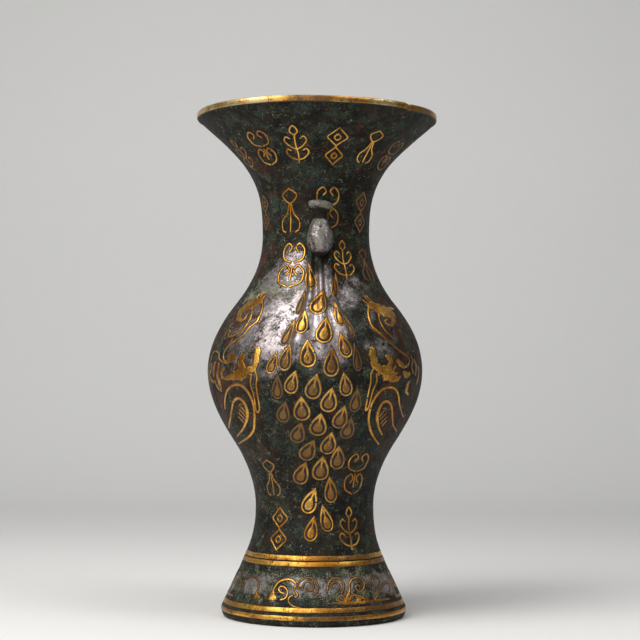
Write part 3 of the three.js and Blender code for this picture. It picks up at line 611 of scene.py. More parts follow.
# Feather eyes: azimuth and height of the round end and of the point, half width, and wear, which is partly
# real
# # wear and partly painted shade on eyes at the train's sides and further down the body. The first twelve are
# the
# # ones that the CAD has as pieces of their own, in its order.
EYES = (
    (1.5, 194.9, 5.8, 206.4, 4.9, 0.1), (-7.5, 182.4, -6, 193.6, 3.9, 0),
    (4.6, 177.8, 6.7, 189.4, 5.1, 0.13), (15.8, 168.4, 13.2, 179.6, 4, 0.23),
    (-3.4, 163.2, -3.9, 175.2, 4.9, 0.13), (-12.3, 146.6, -9.4, 156.4, 4.4, 0.35),
    (-0.9, 144, 1.2, 154.6, 5, 0.5), (16.4, 145.2, 14.5, 155.6, 4.1, 0.4), (7.5, 136.1, 9, 146.4, 5.1, 0.4),
    (-7.1, 130.7, -7, 141, 5.2, 0.4), (2, 121.4, 3.7, 130.8, 5.3, 0.4),
    (14.7, 125.5, 16.6, 135.6, 4.7, 0.5), (-3.3, 209.8, -6.7, 223.8, 3.6, 0),
    (13.6, 204, 17.8, 217.8, 3, 0.25), (14.2, 186.4, 11.9, 198.6, 2.8, 0.1),
    (-16.3, 174.2, -11.6, 188.4, 2.9, 0.58), (-10.6, 192.8, -7.8, 206.6, 2.3, 0.6),
    (8.2, 157.8, 8.7, 170.2, 4.9, 0.35), (-15.4, 160.4, -13.2, 173.2, 4.2, 0.43),
    (-22.9, 157.6, -19.6, 168, 3.2, 0.25), (-19.9, 142.6, -19.1, 154, 3.6, 1),
    (22, 159.5, 20.9, 173.4, 3.1, 1), (20.5, 179, 18.4, 190.4, 2.2, 0.98), (22.5, 135, 22.7, 146.2, 3.8, 1),
    (-18.3, 128.6, -15.7, 137.8, 4.2, 0.9), (-11.1, 116.2, -7.6, 125, 4.6, 0.7),
    (9.4, 109.4, 10.9, 119.2, 4.9, 0.4), (20.9, 118.8, 21.6, 128, 4.6, 0.9),
    (-5.6, 105.4, -0.1, 114.2, 4.9, 0.6), (18.4, 99.9, 17.1, 110.6, 4.7, 0.5),
    (5, 93.6, 6.5, 104.2, 5.2, 0.45), (-12, 90.5, -6.4, 100.4, 4.7, 0.4),
    (15.9, 78.7, 13.1, 91.4, 4.1, 0.35), (-5.3, 72.4, 1.4, 84, 4.6, 0.05), (12.7, 60.7, 7.6, 73.6, 4, 0.1),
    (-3, 54.9, 0.3, 66.4, 4.2, 0),
)
CAD_EYES = 12
# An eye is a loop and a core of gold, with a groove between that closes at the point. Each ring of the plate
# is its share of the outline, its lift, its depth in the groove and how much duller it is.
EYE_RINGS = (
    (1.1, -0.3, 1, 0), (1.08, 0.05, 1, 0), (1.01, 0.07, 0.9, 0), (0.98, 0.26, 0.05, 0), (0.89, 0.36, 0, 0),
    (0.82, 0.28, 0.05, 0), (0.79, 0.09, 0.9, 0), (0.76, 0.05, 1, 0), (0.56, 0.05, 1, 0),
    (0.53, 0.09, 0.9, 0.1), (0.49, 0.27, 0.1, 0.2), (0.37, 0.38, 0, 0.3), (0.19, 0.42, 0, 0.4),
    (0.02, 0.43, 0, 0.5),
)
# Rings under this share make the core, which rises to the crown's lift at the point, where the groove ends.
CORE_SHARE = 0.8
CROWN_LIFT = 0.34
EYE_SIDES = 44


def feather_eye(surface, eye, back, relief):
    """Lays one eye, turned back round the vase, over relief."""
    azimuth, z, point_azimuth, point_z, half_width, worn = eye
    azimuth, point_azimuth = azimuth + back, point_azimuth + back
    radius, slant = float(outer_radius(z)), math.hypot(1.0, float(lean(z)))
    run, rise = math.radians(point_azimuth - azimuth) * radius, (point_z - z) * slant
    reach = math.hypot(run, rise)
    run, rise = run / reach, rise / reach
    turn = np.linspace(0.0, 2 * math.pi, EYE_SIDES, endpoint=False)
    swell = np.sin(turn) * np.sin(turn / 2) ** 1.15
    cut = smooth_step((np.minimum(turn, 2 * math.pi - turn) - 0.35) / 0.4)
    share, lift, groove, duller = np.array(EYE_RINGS).T[:, :, None]
    core = share < CORE_SHARE
    lift = np.where(core, cut * lift + (1 - cut) * CROWN_LIFT, lift)
    groove = np.where(core, cut * groove, groove)
    across = share * half_width * swell / np.abs(swell).max()
    up = share * ((reach + half_width) / 2 * np.cos(turn) + (reach - half_width) / 2)
    a = azimuth + np.degrees((across * rise + up * run) / radius)
    h = z + (up * rise - across * run) / slant
    surface.add(on_wall(a, h, lift, relief(a, h)), groove=groove, worn=np.minimum(worn + duller * cut, 1.0))


def make_feather_eyes():
    for side, turn in bird_turns().items():
        back = turn - bird_turns()["front"]
        rest = Surface(GOLD)
        for number, eye in enumerate(EYES, 1):
            surface = Surface(GOLD) if number <= CAD_EYES else rest
            feather_eye(surface, eye, back, lambda a, z: np.maximum(train_lift(a, z, turn), 0.0))
            if number <= CAD_EYES:
                finish_piece(surface, f"gold_{side}_eye_{number}", "gold", f"{side}_eye_{number}")
        finish_piece(rest, f"gold_{side}_small_eyes", "gold")


# ---- the flank panels ----

# The gold of the panels that lie right and left of a bird, as strips like the frieze's, through stops of
# azimuth away from the bird, rise over the belly's widest, and width.
RIGHT_PLUME = (
    (W, 0, ((35.2, 44.1, 0.7), (36.9, 42.5, 0.8), (39.2, 41.2, 0.9))),
    (W, 0, ((38.6, 46.7, 0.7), (39.7, 44.4, 0.8), (41.2, 42.4, 0.9))),
    (W, 0, ((41, 47, 0.7), (42.1, 44.9, 0.8), (43.5, 42.9, 0.9))),
    (S, 0, ((38.2, 40.6, 3.8), (41.2, 40.1, 7), (45, 39.5, 8.4), (47.9, 38.1, 7.8), (51.1, 37, 9.2),
        (55.6, 36.4, 8.8), (57.8, 35.3, 6.1), (56.5, 32.5, 3.8), (53.4, 29.6, 2.4), (50.3, 28.2, 1.9),
        (47.9, 28.7, 1.8), (46.4, 29.4, 1.4))),
    (S, 0.1, ((53.1, 38.3, 1.6), (59.1, 38.9, 2.8), (64.7, 39.3, 1.4))),
    (W, 0, ((44.5, 35.8, 1.6), (42.4, 32, 1.4), (42.4, 27.8, 1.3), (43.8, 24.3, 1.3), (46.1, 21.8, 1.2),
        (48.5, 19.6, 1))),
    (W, 0, ((38, 39.7, 1.5), (35.3, 35.7, 1.5), (34.2, 31.4, 1.5), (34.5, 27.7, 1.8), (36.3, 25.2, 2.3),
        (39.2, 22.4, 1.8), (41.9, 19.5, 1.3), (45.5, 16.3, 1.2), (49.5, 13.1, 1.2), (54.1, 10.6, 1.1),
        (55.8, 9.8, 1))),
    (W, 0.2, ((46.7, 29.5, 1), (46.8, 31, 1.1), (49.2, 32.2, 1))),
)
RIGHT_BEAST = (
    (S, 0, ((31.4, 13.5, 3.5), (31.3, 9.9, 4.4), (31.7, 6.3, 4.6), (32.5, 3.1, 4.6), (34.6, 1.2, 4.4),
        (37.5, 0.1, 6.1), (40.1, -1.8, 8.2), (43.4, -3.7, 6.1), (46.7, -5, 3.9), (49.5, -3.7, 1.5))),
    (S, 0, ((39.3, 9.1, 1.2), (41, 8.5, 3), (42.5, 6.6, 3.2), (42.7, 4.5, 2.8), (41.4, 2.6, 3.2),
        (39.9, 1.1, 3.8))),
    (S, 0, ((46.9, 6.1, 1.2), (48.8, 5.6, 3), (50.6, 3.8, 3.2), (53.4, 2.7, 1.6), (56, 3.3, 1.2),
        (58, 4.8, 0.9))),
    (W, 0.35, ((45.9, 2.5, 1.2), (44.6, 0.6, 1.1), (45.3, -1.4, 1.1), (47.2, -1.3, 1))),
    (W, 0.35, ((43.2, 1.7, 1.2), (42.5, 0, 1.4), (43.1, -2, 1.6))),
    (W, 0.25, ((31.1, 0.8, 1), (30, -1.4, 1), (29.8, -3.7, 1), (29.9, -7, 1), (29.3, -12, 1),
        (29.1, -17.1, 1), (29.2, -22.6, 1.1), (29.9, -24.4, 1.2), (30.9, -22.1, 1), (31.3, -17, 1),
        (31.8, -12, 1), (33.1, -8.4, 1), (33.6, -4.9, 1), (33.1, -3.1, 1.1), (33.9, -1.8, 1.2),
        (34.6, -2.8, 1.1))),
    (S, 0.35, ((58.8, -6.3, 1.2), (57.5, -9.1, 3), (57.5, -12, 2.5), (60.4, -14.6, 1.2))),
    (W, 0.5, ((61.4, 9.3, 1.2), (62.3, 6.3, 1.6), (60.9, 2.6, 1.6), (62.3, -1, 1.4))),
    (W, 0.5, ((56.2, 9.5, 1.2), (58.3, 8.3, 1.4), (58.8, 5.6, 1.2))),
    (S, 0.3, ((52.6, -1, 2.4), (55.4, -2.4, 3.6), (58.6, -1.6, 2))),
    (S, 0.6, ((64.8, 7, 2), (66.2, 2.6, 3), (65.4, -2, 2))),
    (S, 0.7, ((69.6, 3, 2), (70.6, -2.6, 3), (68.8, -8, 2))),
)
RIGHT_OUTER_COIL = (
    (W, 0.3, ((51.5, -45.9, 0.9), (42.9, -41.4, 1.3), (37.1, -36.4, 1.6), (33.6, -30.8, 1.6),
        (32.4, -25.7, 1.6), (32.5, -20.6, 1.6), (34.4, -15.6, 1.6), (37.1, -12, 1.7), (40.9, -10.3, 1.7),
        (45.3, -10.3, 1.6), (48.6, -12.2, 1.5), (51.4, -15.7, 1.3), (54.6, -20.8, 1.2), (60.5, -25.8, 1.1),
        (65.6, -28.7, 0.9))),
)
RIGHT_INNER_COIL = (
    (W, 0.35, ((67.3, -38.1, 0.9), (57.7, -34.2, 1.3), (52.5, -28.9, 1.5), (48.9, -23.7, 1.5),
        (46.2, -20.3, 1.6), (42.4, -18.7, 1.8), (39.7, -20.1, 1.9), (38.7, -23.6, 2.2), (38.8, -28, 2.4),
        (41.6, -33, 1.8), (45.4, -36.9, 1.2), (50.1, -39.9, 0.8))),
    (W, 0.5, ((40.6, -28.1, 0.8), (41.6, -26.2, 0.9), (42.8, -24.4, 0.8))),
    (W, 0.5, ((42, -30.3, 0.8), (43.2, -28.2, 0.9), (45, -26.3, 0.8))),
    (W, 0.5, ((43.7, -32.6, 0.8), (45, -30.4, 0.9), (46.7, -28.5, 0.8))),
    (W, 0.5, ((45.8, -34.2, 0.8), (46.8, -32.5, 0.9), (47.9, -30.7, 0.8))),
    (W, 0.6, ((41.5, -23.3, 0.7), (42.7, -22.9, 0.8), (44.4, -24.1, 0.7))),
)
LEFT_PLUME = (
    (W, 0, ((38.9, 47, 0.7), (40.8, 45.8, 0.8), (42.2, 44.3, 0.9))),
    (W, 0, ((44.1, 48.7, 0.7), (44.7, 47, 0.8), (45, 45.3, 0.9))),
    (W, 0, ((47.2, 47.6, 0.7), (48, 46.4, 0.8), (48.1, 44.7, 0.9))),
    (S, 0.05, ((41.1, 43.4, 5.1), (44.9, 43, 7.4), (48.6, 41.6, 8.8), (52.3, 40.3, 8.4), (55.4, 39, 7.4),
        (57.1, 37.2, 5.7), (56.6, 35, 4.3), (54.7, 32.4, 3.8), (51.5, 30.9, 2.2), (49.3, 31.4, 1.8),
        (48.3, 32.6, 2.2), (47.9, 33.5, 1.2))),
    (W, 0, ((47.3, 39.4, 1.6), (44.4, 35.3, 1.4), (43.4, 32, 1.4), (44, 28.6, 1.4), (45.5, 25.3, 1.5),
        (48.7, 22.7, 1.4), (52.2, 21.4, 1.3), (56.1, 20.6, 1.1))),
    (W, 0.4, ((56.1, 20.6, 1.1), (58.2, 22.3, 1), (56.7, 24, 1), (59.1, 24.8, 0.9), (61.4, 23.4, 1),
        (62, 21.3, 1))),
    (W, 0, ((41.1, 43.2, 1.6), (38.3, 40.6, 1.3), (36.8, 37.6, 1.2), (36.3, 34.7, 1.4), (36.7, 32.4, 1.7),
        (36.9, 30.1, 1.5), (38.4, 28.6, 1.3), (41.2, 25.9, 1.3), (43, 22.7, 1.3), (45.5, 20, 1.3),
        (49.4, 17.6, 1.3), (53.4, 15, 1.2), (55.1, 13.1, 1.1), (56.4, 10.8, 1.1), (56.6, 8.1, 1.1),
        (55.1, 5.8, 1.1), (52.5, 4.5, 1.1))),
    (S, 0, ((52.2, 4.7, 1.2), (51, 6.5, 3.8), (49, 7.9, 5), (47.3, 8.8, 3.2), (46.7, 9.4, 1))),
    (S, 0, ((50.2, 5.2, 1.4), (48.2, 6.2, 3), (46.8, 7.3, 1))),
)
LEFT_BEAST = (
    (S, 0, ((31.6, 13.2, 3.5), (31.4, 10.2, 4.2), (31.5, 7.1, 4.2), (31.8, 3.6, 3.9), (33.1, 1, 3.5),
        (35.2, 0, 3.5), (37.8, -0.7, 5), (40.5, -1.8, 9), (43.9, -3.4, 6.1), (47.5, -4.3, 3.9),
        (51.4, -4.8, 3.1), (54, -5.8, 1.3))),
    (S, 0, ((39.1, 8.8, 1.2), (40.4, 8, 3), (41.2, 6.3, 2.8), (40.6, 3.7, 2.8), (39.7, 0.9, 3.8))),
    (W, 0.25, ((41.7, 10, 1.2), (42.6, 7.6, 1.3), (43.5, 5.1, 1.2), (42.8, 2.7, 1.1), (41.2, 1.9, 0.9))),
    (W, 0.35, ((46.2, 1.6, 1), (46.9, -0.6, 1.3), (45.4, -2.9, 1.6))),
    (W, 0.25, ((32, -0.2, 1), (31.4, -2.7, 1), (31, -5.4, 1), (31.7, -8.9, 1), (31.8, -12.4, 1),
        (31.8, -16.6, 1), (31.8, -20.8, 1), (32.4, -24.3, 1.1), (34.3, -26.1, 1.2), (34.9, -23.6, 1),
        (34.3, -19.4, 1), (34.3, -14.5, 1), (34.9, -11, 1), (35.2, -7.7, 1), (34.7, -5.1, 1.1),
        (34.3, -3.2, 1.2), (35.5, -2.8, 1.1))),
    (W, 0.2, ((51.1, 4.4, 1), (54.1, 4.4, 1), (57.6, 5.3, 1), (61, 7.3, 1), (62.3, 10.2, 1),
        (66.2, 11.8, 1), (70.5, 11.5, 1), (73.4, 8.7, 1), (73.6, 6.3, 1))),
    (S, 0.2, ((60.7, 3.9, 1.6), (60.7, 1.1, 1.8), (62.1, -2.1, 3), (61.4, -6.1, 3.5), (60.3, -10, 3),
        (60.6, -13, 1.2))),
    (S, 0.3, ((57.5, -4.7, 1.4), (54.6, -5.1, 1.8), (51.4, -4.5, 1.4))),
    (W, 0.3, ((71.2, 3.7, 1.6), (72.1, 0.5, 1.8), (75, -2.8, 1.8), (72.4, -6, 1.6), (67.9, -7.6, 1.4))),
    (W, 0.35, ((66.2, -6.8, 1.4), (64.9, -9.5, 1.6), (62.5, -12.3, 1.4))),
    (S, 0.4, ((55.2, 0.6, 2), (57.4, -1.2, 3.2), (57, -3.6, 2))),
    (S, 0.5, ((65.4, 4.6, 2.4), (67, 0.6, 3.6), (66.8, -3.6, 2.4))),
    (S, 0.7, ((76.4, 3.6, 2), (78, -1.6, 3), (77, -6.6, 2))),
)
LEFT_OUTER_COIL = (
    (W, 0.3, ((62.4, -24.3, 1), (60, -20, 1.3), (55.5, -14.2, 1.5), (51.7, -11.2, 1.6), (47.3, -9.3, 1.7),
        (43.3, -9.1, 1.7), (39.9, -10.9, 1.7), (37.4, -14.2, 1.6), (36, -18.1, 1.6), (35.9, -23.3, 1.6),
        (37.2, -28.6, 1.6), (39.4, -33.6, 1.6), (42.5, -37.8, 1.6), (48.7, -41.3, 1.5), (57.4, -44, 1.3),
        (69.9, -46.5, 1))),
)
LEFT_INNER_COIL = (
    (W, 0.35, ((71.8, -36.6, 0.9), (61.2, -30.7, 1.4), (55.2, -24.9, 1.5), (50.8, -19.9, 1.6),
        (47, -17.7, 1.8), (43.9, -18.2, 1.9), (41.8, -21, 2), (41.4, -24.5, 2.3), (42.8, -28.7, 2.2),
        (46.6, -33.1, 1.7), (53.2, -37.6, 1.3), (65.1, -42, 0.9))),
    (W, 0.5, ((43.2, -26.5, 0.8), (44.2, -24.6, 0.9), (45.4, -22.8, 0.8))),
    (W, 0.5, ((44.4, -28.6, 0.8), (45.6, -26.5, 0.9), (47.3, -24.6, 0.8))),
    (W, 0.5, ((46.1, -30.8, 0.8), (47.4, -28.7, 0.9), (49.2, -26.8, 0.8))),
    (W, 0.5, ((48.2, -32.4, 0.8), (49.3, -30.8, 0.9), (50.5, -29, 0.8))),
    (W, 0.6, ((44, -21.6, 0.7), (45.3, -21.2, 0.8), (47, -22.4, 0.7))),
)
RIGHT = dict(plume=RIGHT_PLUME, beast=RIGHT_BEAST, outer_coil=RIGHT_OUTER_COIL, inner_coil=RIGHT_INNER_COIL)
LEFT = dict(plume=LEFT_PLUME, beast=LEFT_BEAST, outer_coil=LEFT_OUTER_COIL, inner_coil=LEFT_INNER_COIL)
# Which panel each quarter of the body has, the turn of the bird beside it, and the way round it lies.
QUARTERS = {
    "front_right": (RIGHT, 0.0, 1.0),
    "back_right": (LEFT, 180.0, -1.0),
    "back_left": (RIGHT, 180.0, 1.0),
    "front_left": (LEFT, 0.0, -1.0),
}


def make_flank_panels():
    for quarter, (panel, turn, hand) in QUARTERS.items():
        for piece, strips in panel.items():
            surface = Surface(INLAY)
            lay_strips(surface, strips, lambda a, rise, width: (turn + hand * a, BELLY_Z + rise, width))
            finish_piece(surface, f"gold_{quarter}_{piece}", "gold", f"{quarter}_{piece}")


# ---- small ornaments on the neck and the lower body ----

# Each is a few wires as (across, up), drawn for a field 14 wide and 24 high, and mirrored where it says so.
SPRIG = (
    (False, ((0, -12), (0.3, -6), (-0.3, 0), (0, 6))),
    (False, ((0, 6), (1.9, 8.6), (0, 12), (-1.9, 8.6), (0, 6))),
    (True, ((0, -3), (3.2, -1.2), (5.8, 2.4), (4.6, 5.2), (2.8, 4.0))),
    (True, ((0, -10), (3.4, -9), (6.4, -5.6), (5.6, -2.8), (3.6, -3.6))),
)
VOLUTES = (
    (True, ((0.8, -12), (5.4, -9.4), (6.2, -4), (3.2, -0.6), (1.2, -3.2), (2.8, -5.6))),
    (True, ((0.8, 1), (5.2, 3), (6.0, 8), (3.2, 11.2), (1.2, 9), (2.6, 6.8))),
    (False, ((0, -8), (0, -1))),
)
LOZENGES = (
    (True, ((0, 12), (2.6, 9), (5, 6), (2.6, 3), (0, 0), (2.6, -3), (5, -6), (2.6, -9), (0, -12))),
    (False, ((0, 8), (1.6, 6), (0, 4), (-1.6, 6), (0, 8))),
    (False, ((0, -4), (1.6, -6), (0, -8), (-1.6, -6), (0, -4))),
)
TASSEL = (
    (False, ((0, 11.5), (4.2, 8), (0, 3.6), (-4.2, 8), (0, 11.5))),
    (True, ((0.6, 3.4), (2.2, -2), (5.4, -6), (5.2, -10.5), (3.2, -12))),
    (False, ((0, 3.4), (0.2, -4), (0, -11.5))),
)
# The width of their wire. Then azimuth and height of each one's middle, its size against the drawn one, its
# wear, and which it is.
ORNAMENT_WIRE = 0.95
ORNAMENTS = (
    (-39.5, 294.5, 1.1, 0.15, VOLUTES), (-13.7, 295.0, 1.15, 0.0, SPRIG), (13.5, 294.0, 1.15, 0.0, LOZENGES),
    (39.5, 295.5, 1.05, 0.1, TASSEL), (66.0, 293.0, 1.0, 0.6, VOLUTES), (-66.0, 293.0, 1.0, 0.6, SPRIG),
    (-27.5, 257.0, 1.15, 0.1, TASSEL), (12.0, 258.5, 1.1, 0.15, VOLUTES), (54.0, 257.0, 1.05, 0.6, LOZENGES),
    (-67.0, 257.0, 0.9, 0.6, LOZENGES), (-22.5, 222.8, 1.25, 0.0, VOLUTES), (28.0, 226.0, 1.05, 0.1, SPRIG),
    (56.0, 224.0, 0.9, 0.6, TASSEL), (-40.5, 90.0, 1.0, 0.55, TASSEL), (38.0, 93.0, 1.15, 0.35, VOLUTES),
    (-34.0, 58.0, 1.1, 0.1, LOZENGES), (35.0, 58.5, 1.1, 0.05, SPRIG),
)


def make_ornaments():
    for side, turn in (("front", 0.0), ("back", 180.0)):
        surface = Surface(INLAY)
        for azimuth, z, size, worn, ornament in ORNAMENTS:
            across = math.degrees(size / float(outer_radius(z)))
            up = size / math.hypot(1.0, float(lean(z)))
            for both, wire in ornament:
                for hand in (across, -across) if both else (across,):
                    stops = [(turn + azimuth + hand * u, z + v * up, ORNAMENT_WIRE) for u, v in wire]
                    ribbon(surface, smooth_path(stops, PER_SPAN), WIRE, worn)
        finish_piece(surface, f"gold_{side}_ornaments", "gold")


# ---- finishes ----


class Shading:
    """Adds nodes to one tree. A value may be a number, a colour, a vector or another node's socket."""

    def __init__(self, tree):
        self.nodes, self.links = tree.nodes, tree.links

    def put(self, socket, value):
        if isinstance(value, bpy.types.NodeSocket):
            self.links.new(value, socket)
        else:
            socket.default_value = (*value, 1.0) if socket.type == "RGBA" else value

    def node(self, kind, inputs, **options):
        """A node with its options, and with what goes into its inputs by their names or numbers."""
        node = self.nodes.new(kind)
        for label, value in options.items():
            setattr(node, label, value)
        for label, value in inputs.items():
            self.put(node.inputs[label], value)
        return node

    def maths(self, operation, *values):
        return self.node("ShaderNodeMath", dict(enumerate(values)), operation=operation).outputs[0]

    def scaled(self, value, factor, offset=0.0):
        return self.maths("MULTIPLY_ADD", value, factor, offset)

    def most(self, first, *others):
        for other in others:
            first = self.maths("MAXIMUM", first, other)
        return first

    def mix(self, factor, first, second):
        return self.node("ShaderNodeMix", {0: factor, 6: first, 7: second}, data_type="RGBA").outputs[2]

    def layered(self, colour, *layers):
        """A colour under layers, each with its mask, its strength and its own colour."""
        for mask, strength, layer in layers:
            colour = self.mix(self.scaled(mask, strength), colour, layer)
        return colour

    def noise(self, vector, scale, detail, roughness):
        inputs = {"Vector": vector, "Scale": scale, "Detail": detail, "Roughness": roughness}
        return self.node("ShaderNodeTexNoise", inputs).outputs["Fac"]

    def ramp(self, value, low, high):
        inputs = {"Value": value, "From Min": low, "From Max": high}
        return self.node("ShaderNodeMapRange", inputs, interpolation_type="SMOOTHSTEP").outputs["Result"]

    def shifted(self, vector, amount):
        return self.node("ShaderNodeVectorMath", {0: vector, 1: amount}, operation="ADD").outputs[0]

    def mark(self, label):
        return self.node("ShaderNodeAttribute", {}, attribute_name=label).outputs["Fac"]

    def masked(self, group, vector, *values):
        """The mask of a node group, its values in the order of the group's own sockets."""
        inputs = dict(enumerate((vector, *values)))
        return self.node("ShaderNodeGroup", inputs, node_tree=group).outputs["Mask"]

    def bump(self, shader, height, distance):
        inputs = {"Strength": 1.0, "Distance": distance, "Height": height}
        self.put(shader.inputs["Normal"], self.node("ShaderNodeBump", inputs).outputs["Normal"])


def mask_group(name, draw, **inputs):
    """The group of a name, with a vector, named numbers and one mask, drawn on its first use."""
    if name not in bpy.data.node_groups:
        group = bpy.data.node_groups.new(name, "ShaderNodeTree")
        group.interface.new_socket("Vector", in_out="INPUT", socket_type="NodeSocketVector")
        for label, value in inputs.items():
            label = label.replace("_", " ").title()
            socket = group.interface.new_socket(label, in_out="INPUT", socket_type="NodeSocketFloat")
            socket.default_value = value
        group.interface.new_socket("Mask", in_out="OUTPUT", socket_type="NodeSocketFloat")
        shading = Shading(group)
        mask = draw(shading, *list(shading.node("NodeGroupInput", {}).outputs)[: len(inputs) + 1])
        shading.node("NodeGroupOutput", {"Mask": mask})
    return bpy.data.node_groups[name]


def mottle():
    """Patches with ragged, speckled edges, such as verdigris or red oxide. The mask starts at the level, and
    softness is how far over it the mask is whole."""

    def draw(shading, vector, patch_scale, speckle_scale, speckle, level, softness):
        speckles = shading.scaled(shading.noise(vector, speckle_scale, 3.0, 0.7), 1.0, -0.5)
        height = shading.scaled(speckles, speckle, shading.noise(vector, patch_scale, 8.0, 0.62))
        return shading.ramp(height, level, shading.maths("ADD", level, softness))

    scales = {"patch_scale": 80.0, "speckle_scale": 700.0}
    return mask_group("Mottle", draw, **scales, speckle=0.5, level=0.5, softness=0.08)


def pits():
    """Scattered small holes and chips, each cell's with a size and chance of its own. Spared is the share of
    cells that stay whole."""

    def draw(shading, vector, scale, size, spared):
        cells = shading.node("ShaderNodeTexVoronoi", {"Vector": vector, "Scale": scale}).outputs
        chance = shading.node("ShaderNodeSeparateColor", {0: cells["Color"]}).outputs
        near = shading.maths("LESS_THAN", cells["Distance"], shading.maths("MULTIPLY", chance[1], size))
        return shading.maths("MULTIPLY", near, shading.maths("GREATER_THAN", chance[0], spared))

    return mask_group("Pits", draw, scale=200.0, size=0.12, spared=0.6)


def paint_bronze(shading, place, finish):
    """Near-black bronze: green and red crusts, pale grains and small pits, and a smooth grey skin where it is
    worn smooth, which also serves as painted sheen on the shoulder and the foot."""
    noise, ramp, scaled, masked = shading.noise, shading.ramp, shading.scaled, shading.masked
    # holes is the groove mark: casting holes, and painted shade on the heads and beside the trains. smooth is
    # the worn mark: skin worn smooth, and painted sheen on the shoulder, the foot and the heads.
    holes, smooth, stain, pale = (shading.mark(label) for label in Surface.MARKS)
    beside, beyond = shading.shifted(place, (3.1, 0.7, 1.9)), shading.shifted(place, (0.4, 2.2, 5.0))

    cloud = scaled(noise(beyond, 60.0, 5.0, 0.6), 0.7, scaled(smooth, 0.38, -0.08))
    pores = ramp(noise(beside, 900.0, 4.0, 0.75), 0.5, 0.62)
    skin = ramp(scaled(pores, -0.07, cloud), 0.48, 0.62)
    rust = masked(mottle(), beside, 85.0, 800.0, 0.6, scaled(stain, -0.12, 0.6), 0.1)
    green = masked(mottle(), place, 110.0, 500.0, 0.7, 0.53, 0.1)
    grains = masked(mottle(), beyond, 220.0, 1300.0, 1.3, scaled(pale, -0.2, 0.665), 0.08)
    blue = masked(mottle(), beside, 60.0, 900.0, 0.8, 0.6, 0.1)
    dark = shading.most(holes, masked(pits(), place, 330.0, 0.26, 0.66))
    crust = shading.maths("MULTIPLY", green, scaled(skin, -0.8, 1.0))
    tone = ramp(noise(place, 70.0, 7.0, 0.7), 0.38, 0.62)
    skin_tone = ramp(noise(place, 300.0, 6.0, 0.7), 0.26, 0.62)
    colour = shading.layered(
        shading.mix(tone, finish.bronze_dark, finish.bronze_brown),
        (skin, 1.0, shading.mix(skin_tone, finish.skin_dark, finish.skin)),
        (rust, 1.0, finish.red_oxide),
        (crust, 0.8, finish.verdigris),
        (blue, 0.6, finish.blue_crust),
        (grains, 0.7, finish.pale_verdigris),
        (dark, 1.0, finish.groove),
    )

    bare = shading.maths("MULTIPLY", skin, scaled(shading.most(crust, dark, rust, grains), -0.85, 1.0))
    grain = noise(place, 420.0, 6.0, 0.65)
    rough = scaled(crust, 0.1, scaled(bare, -0.22, scaled(grain, 0.24, 0.48)))
    coarse = scaled(noise(place, 1700.0, 4.0, 0.7), 0.4, grain)
    relief = scaled(crust, 0.3, shading.maths("MULTIPLY", coarse, scaled(bare, -0.78, 1.0)))
    return colour, scaled(bare, 0.95), rough, 0.14, scaled(dark, -0.9, scaled(grains, 0.25, relief)), 0.0004


def paint_gold(shading, place, finish):
    """Worn gold: warm and bright where it is clean, brown in its grooves and where it has dulled, and pale on
    the lip as a painted highlight.
    """
    noise, ramp, scaled, masked = shading.noise, shading.ramp, shading.scaled, shading.masked
    groove, worn, stain, pale = (shading.mark(label) for label in Surface.MARKS)
    beside = shading.shifted(place, (1.0, 4.0, 2.0))

    drift = ramp(noise(place, 36.0, 6.0, 0.66), 0.42, 0.58)
    streaks = ramp(noise(place, 90.0, 5.0, 0.7), 0.36, 0.6)
    scratch = noise(place, 800.0, 4.0, 0.7)
    dull = ramp(scaled(worn, 0.7, scaled(scratch, 0.6)), 0.36, 0.86)
    stains = masked(mottle(), beside, 120.0, 1200.0, 1.0, scaled(stain, -0.08, 0.57), 0.1)
    specks = masked(pits(), place, 520.0, 0.32, 0.64)
    dark = shading.most(specks, groove)
    colour = shading.layered(
        shading.mix(drift, finish.gold_bright, finish.gold_deep),
        # Only the lip sets pale on gold: a painted highlight of pale gold.
        (shading.maths("MULTIPLY", pale, streaks), 1.0, finish.painted_gold_highlight),
        (dull, 1.0, finish.gold_worn),
        (stains, 0.75, finish.tarnish),
        (dark, 1.0, finish.groove),
    )

    metal = scaled(stains, -0.25, scaled(dark, -0.75, scaled(dull, -0.3, 1.0)))
    rough = scaled(stains, 0.12, scaled(dark, 0.25, scaled(scratch, 0.2, 0.22)))
    relief = scaled(noise(place, 260.0, 3.0, 0.5), 1.4, noise(place, 900.0, 4.0, 0.65))
    return colour, metal, rough, 0.5, scaled(specks, -0.8, relief), 0.0003


def paint_seat(shading, place, finish):
    """The dark line of lacquer and dirt round an inlay."""
    drift = shading.noise(place, 350.0, 5.0, 0.65)
    colour = shading.mix(shading.ramp(drift, 0.42, 0.62), finish.groove, finish.red_oxide)
    return colour, 0.0, shading.scaled(drift, 0.3, 0.45), 0.3, drift, 0.0002


def paint_paper(shading, place, finish):
    """Seamless pale paper, paler where it stands up."""
    fibres = shading.noise(place, 60.0, 3.0, 0.5)
    upright = shading.ramp(shading.node("ShaderNodeSeparateXYZ", {0: place}).outputs["Y"], 0.5, 1.4)
    colour = shading.mix(upright, finish.paper, finish.paper_wall)
    return shading.mix(shading.scaled(fibres, 0.1), colour, finish.paper), 0.0, 0.85, 0.2, None, 0.0


# What paints each material, and the settings that it reads. A paint gives base colour, metallic, roughness,
# specular level, and the bump's height and distance.
PAINTS = {
    "patinated_bronze": (paint_bronze, "finish"),
    "worn_gold": (paint_gold, "finish"),
    "inlay_seat": (paint_seat, "finish"),
    "pale_paper": (paint_paper, "studio"),
}


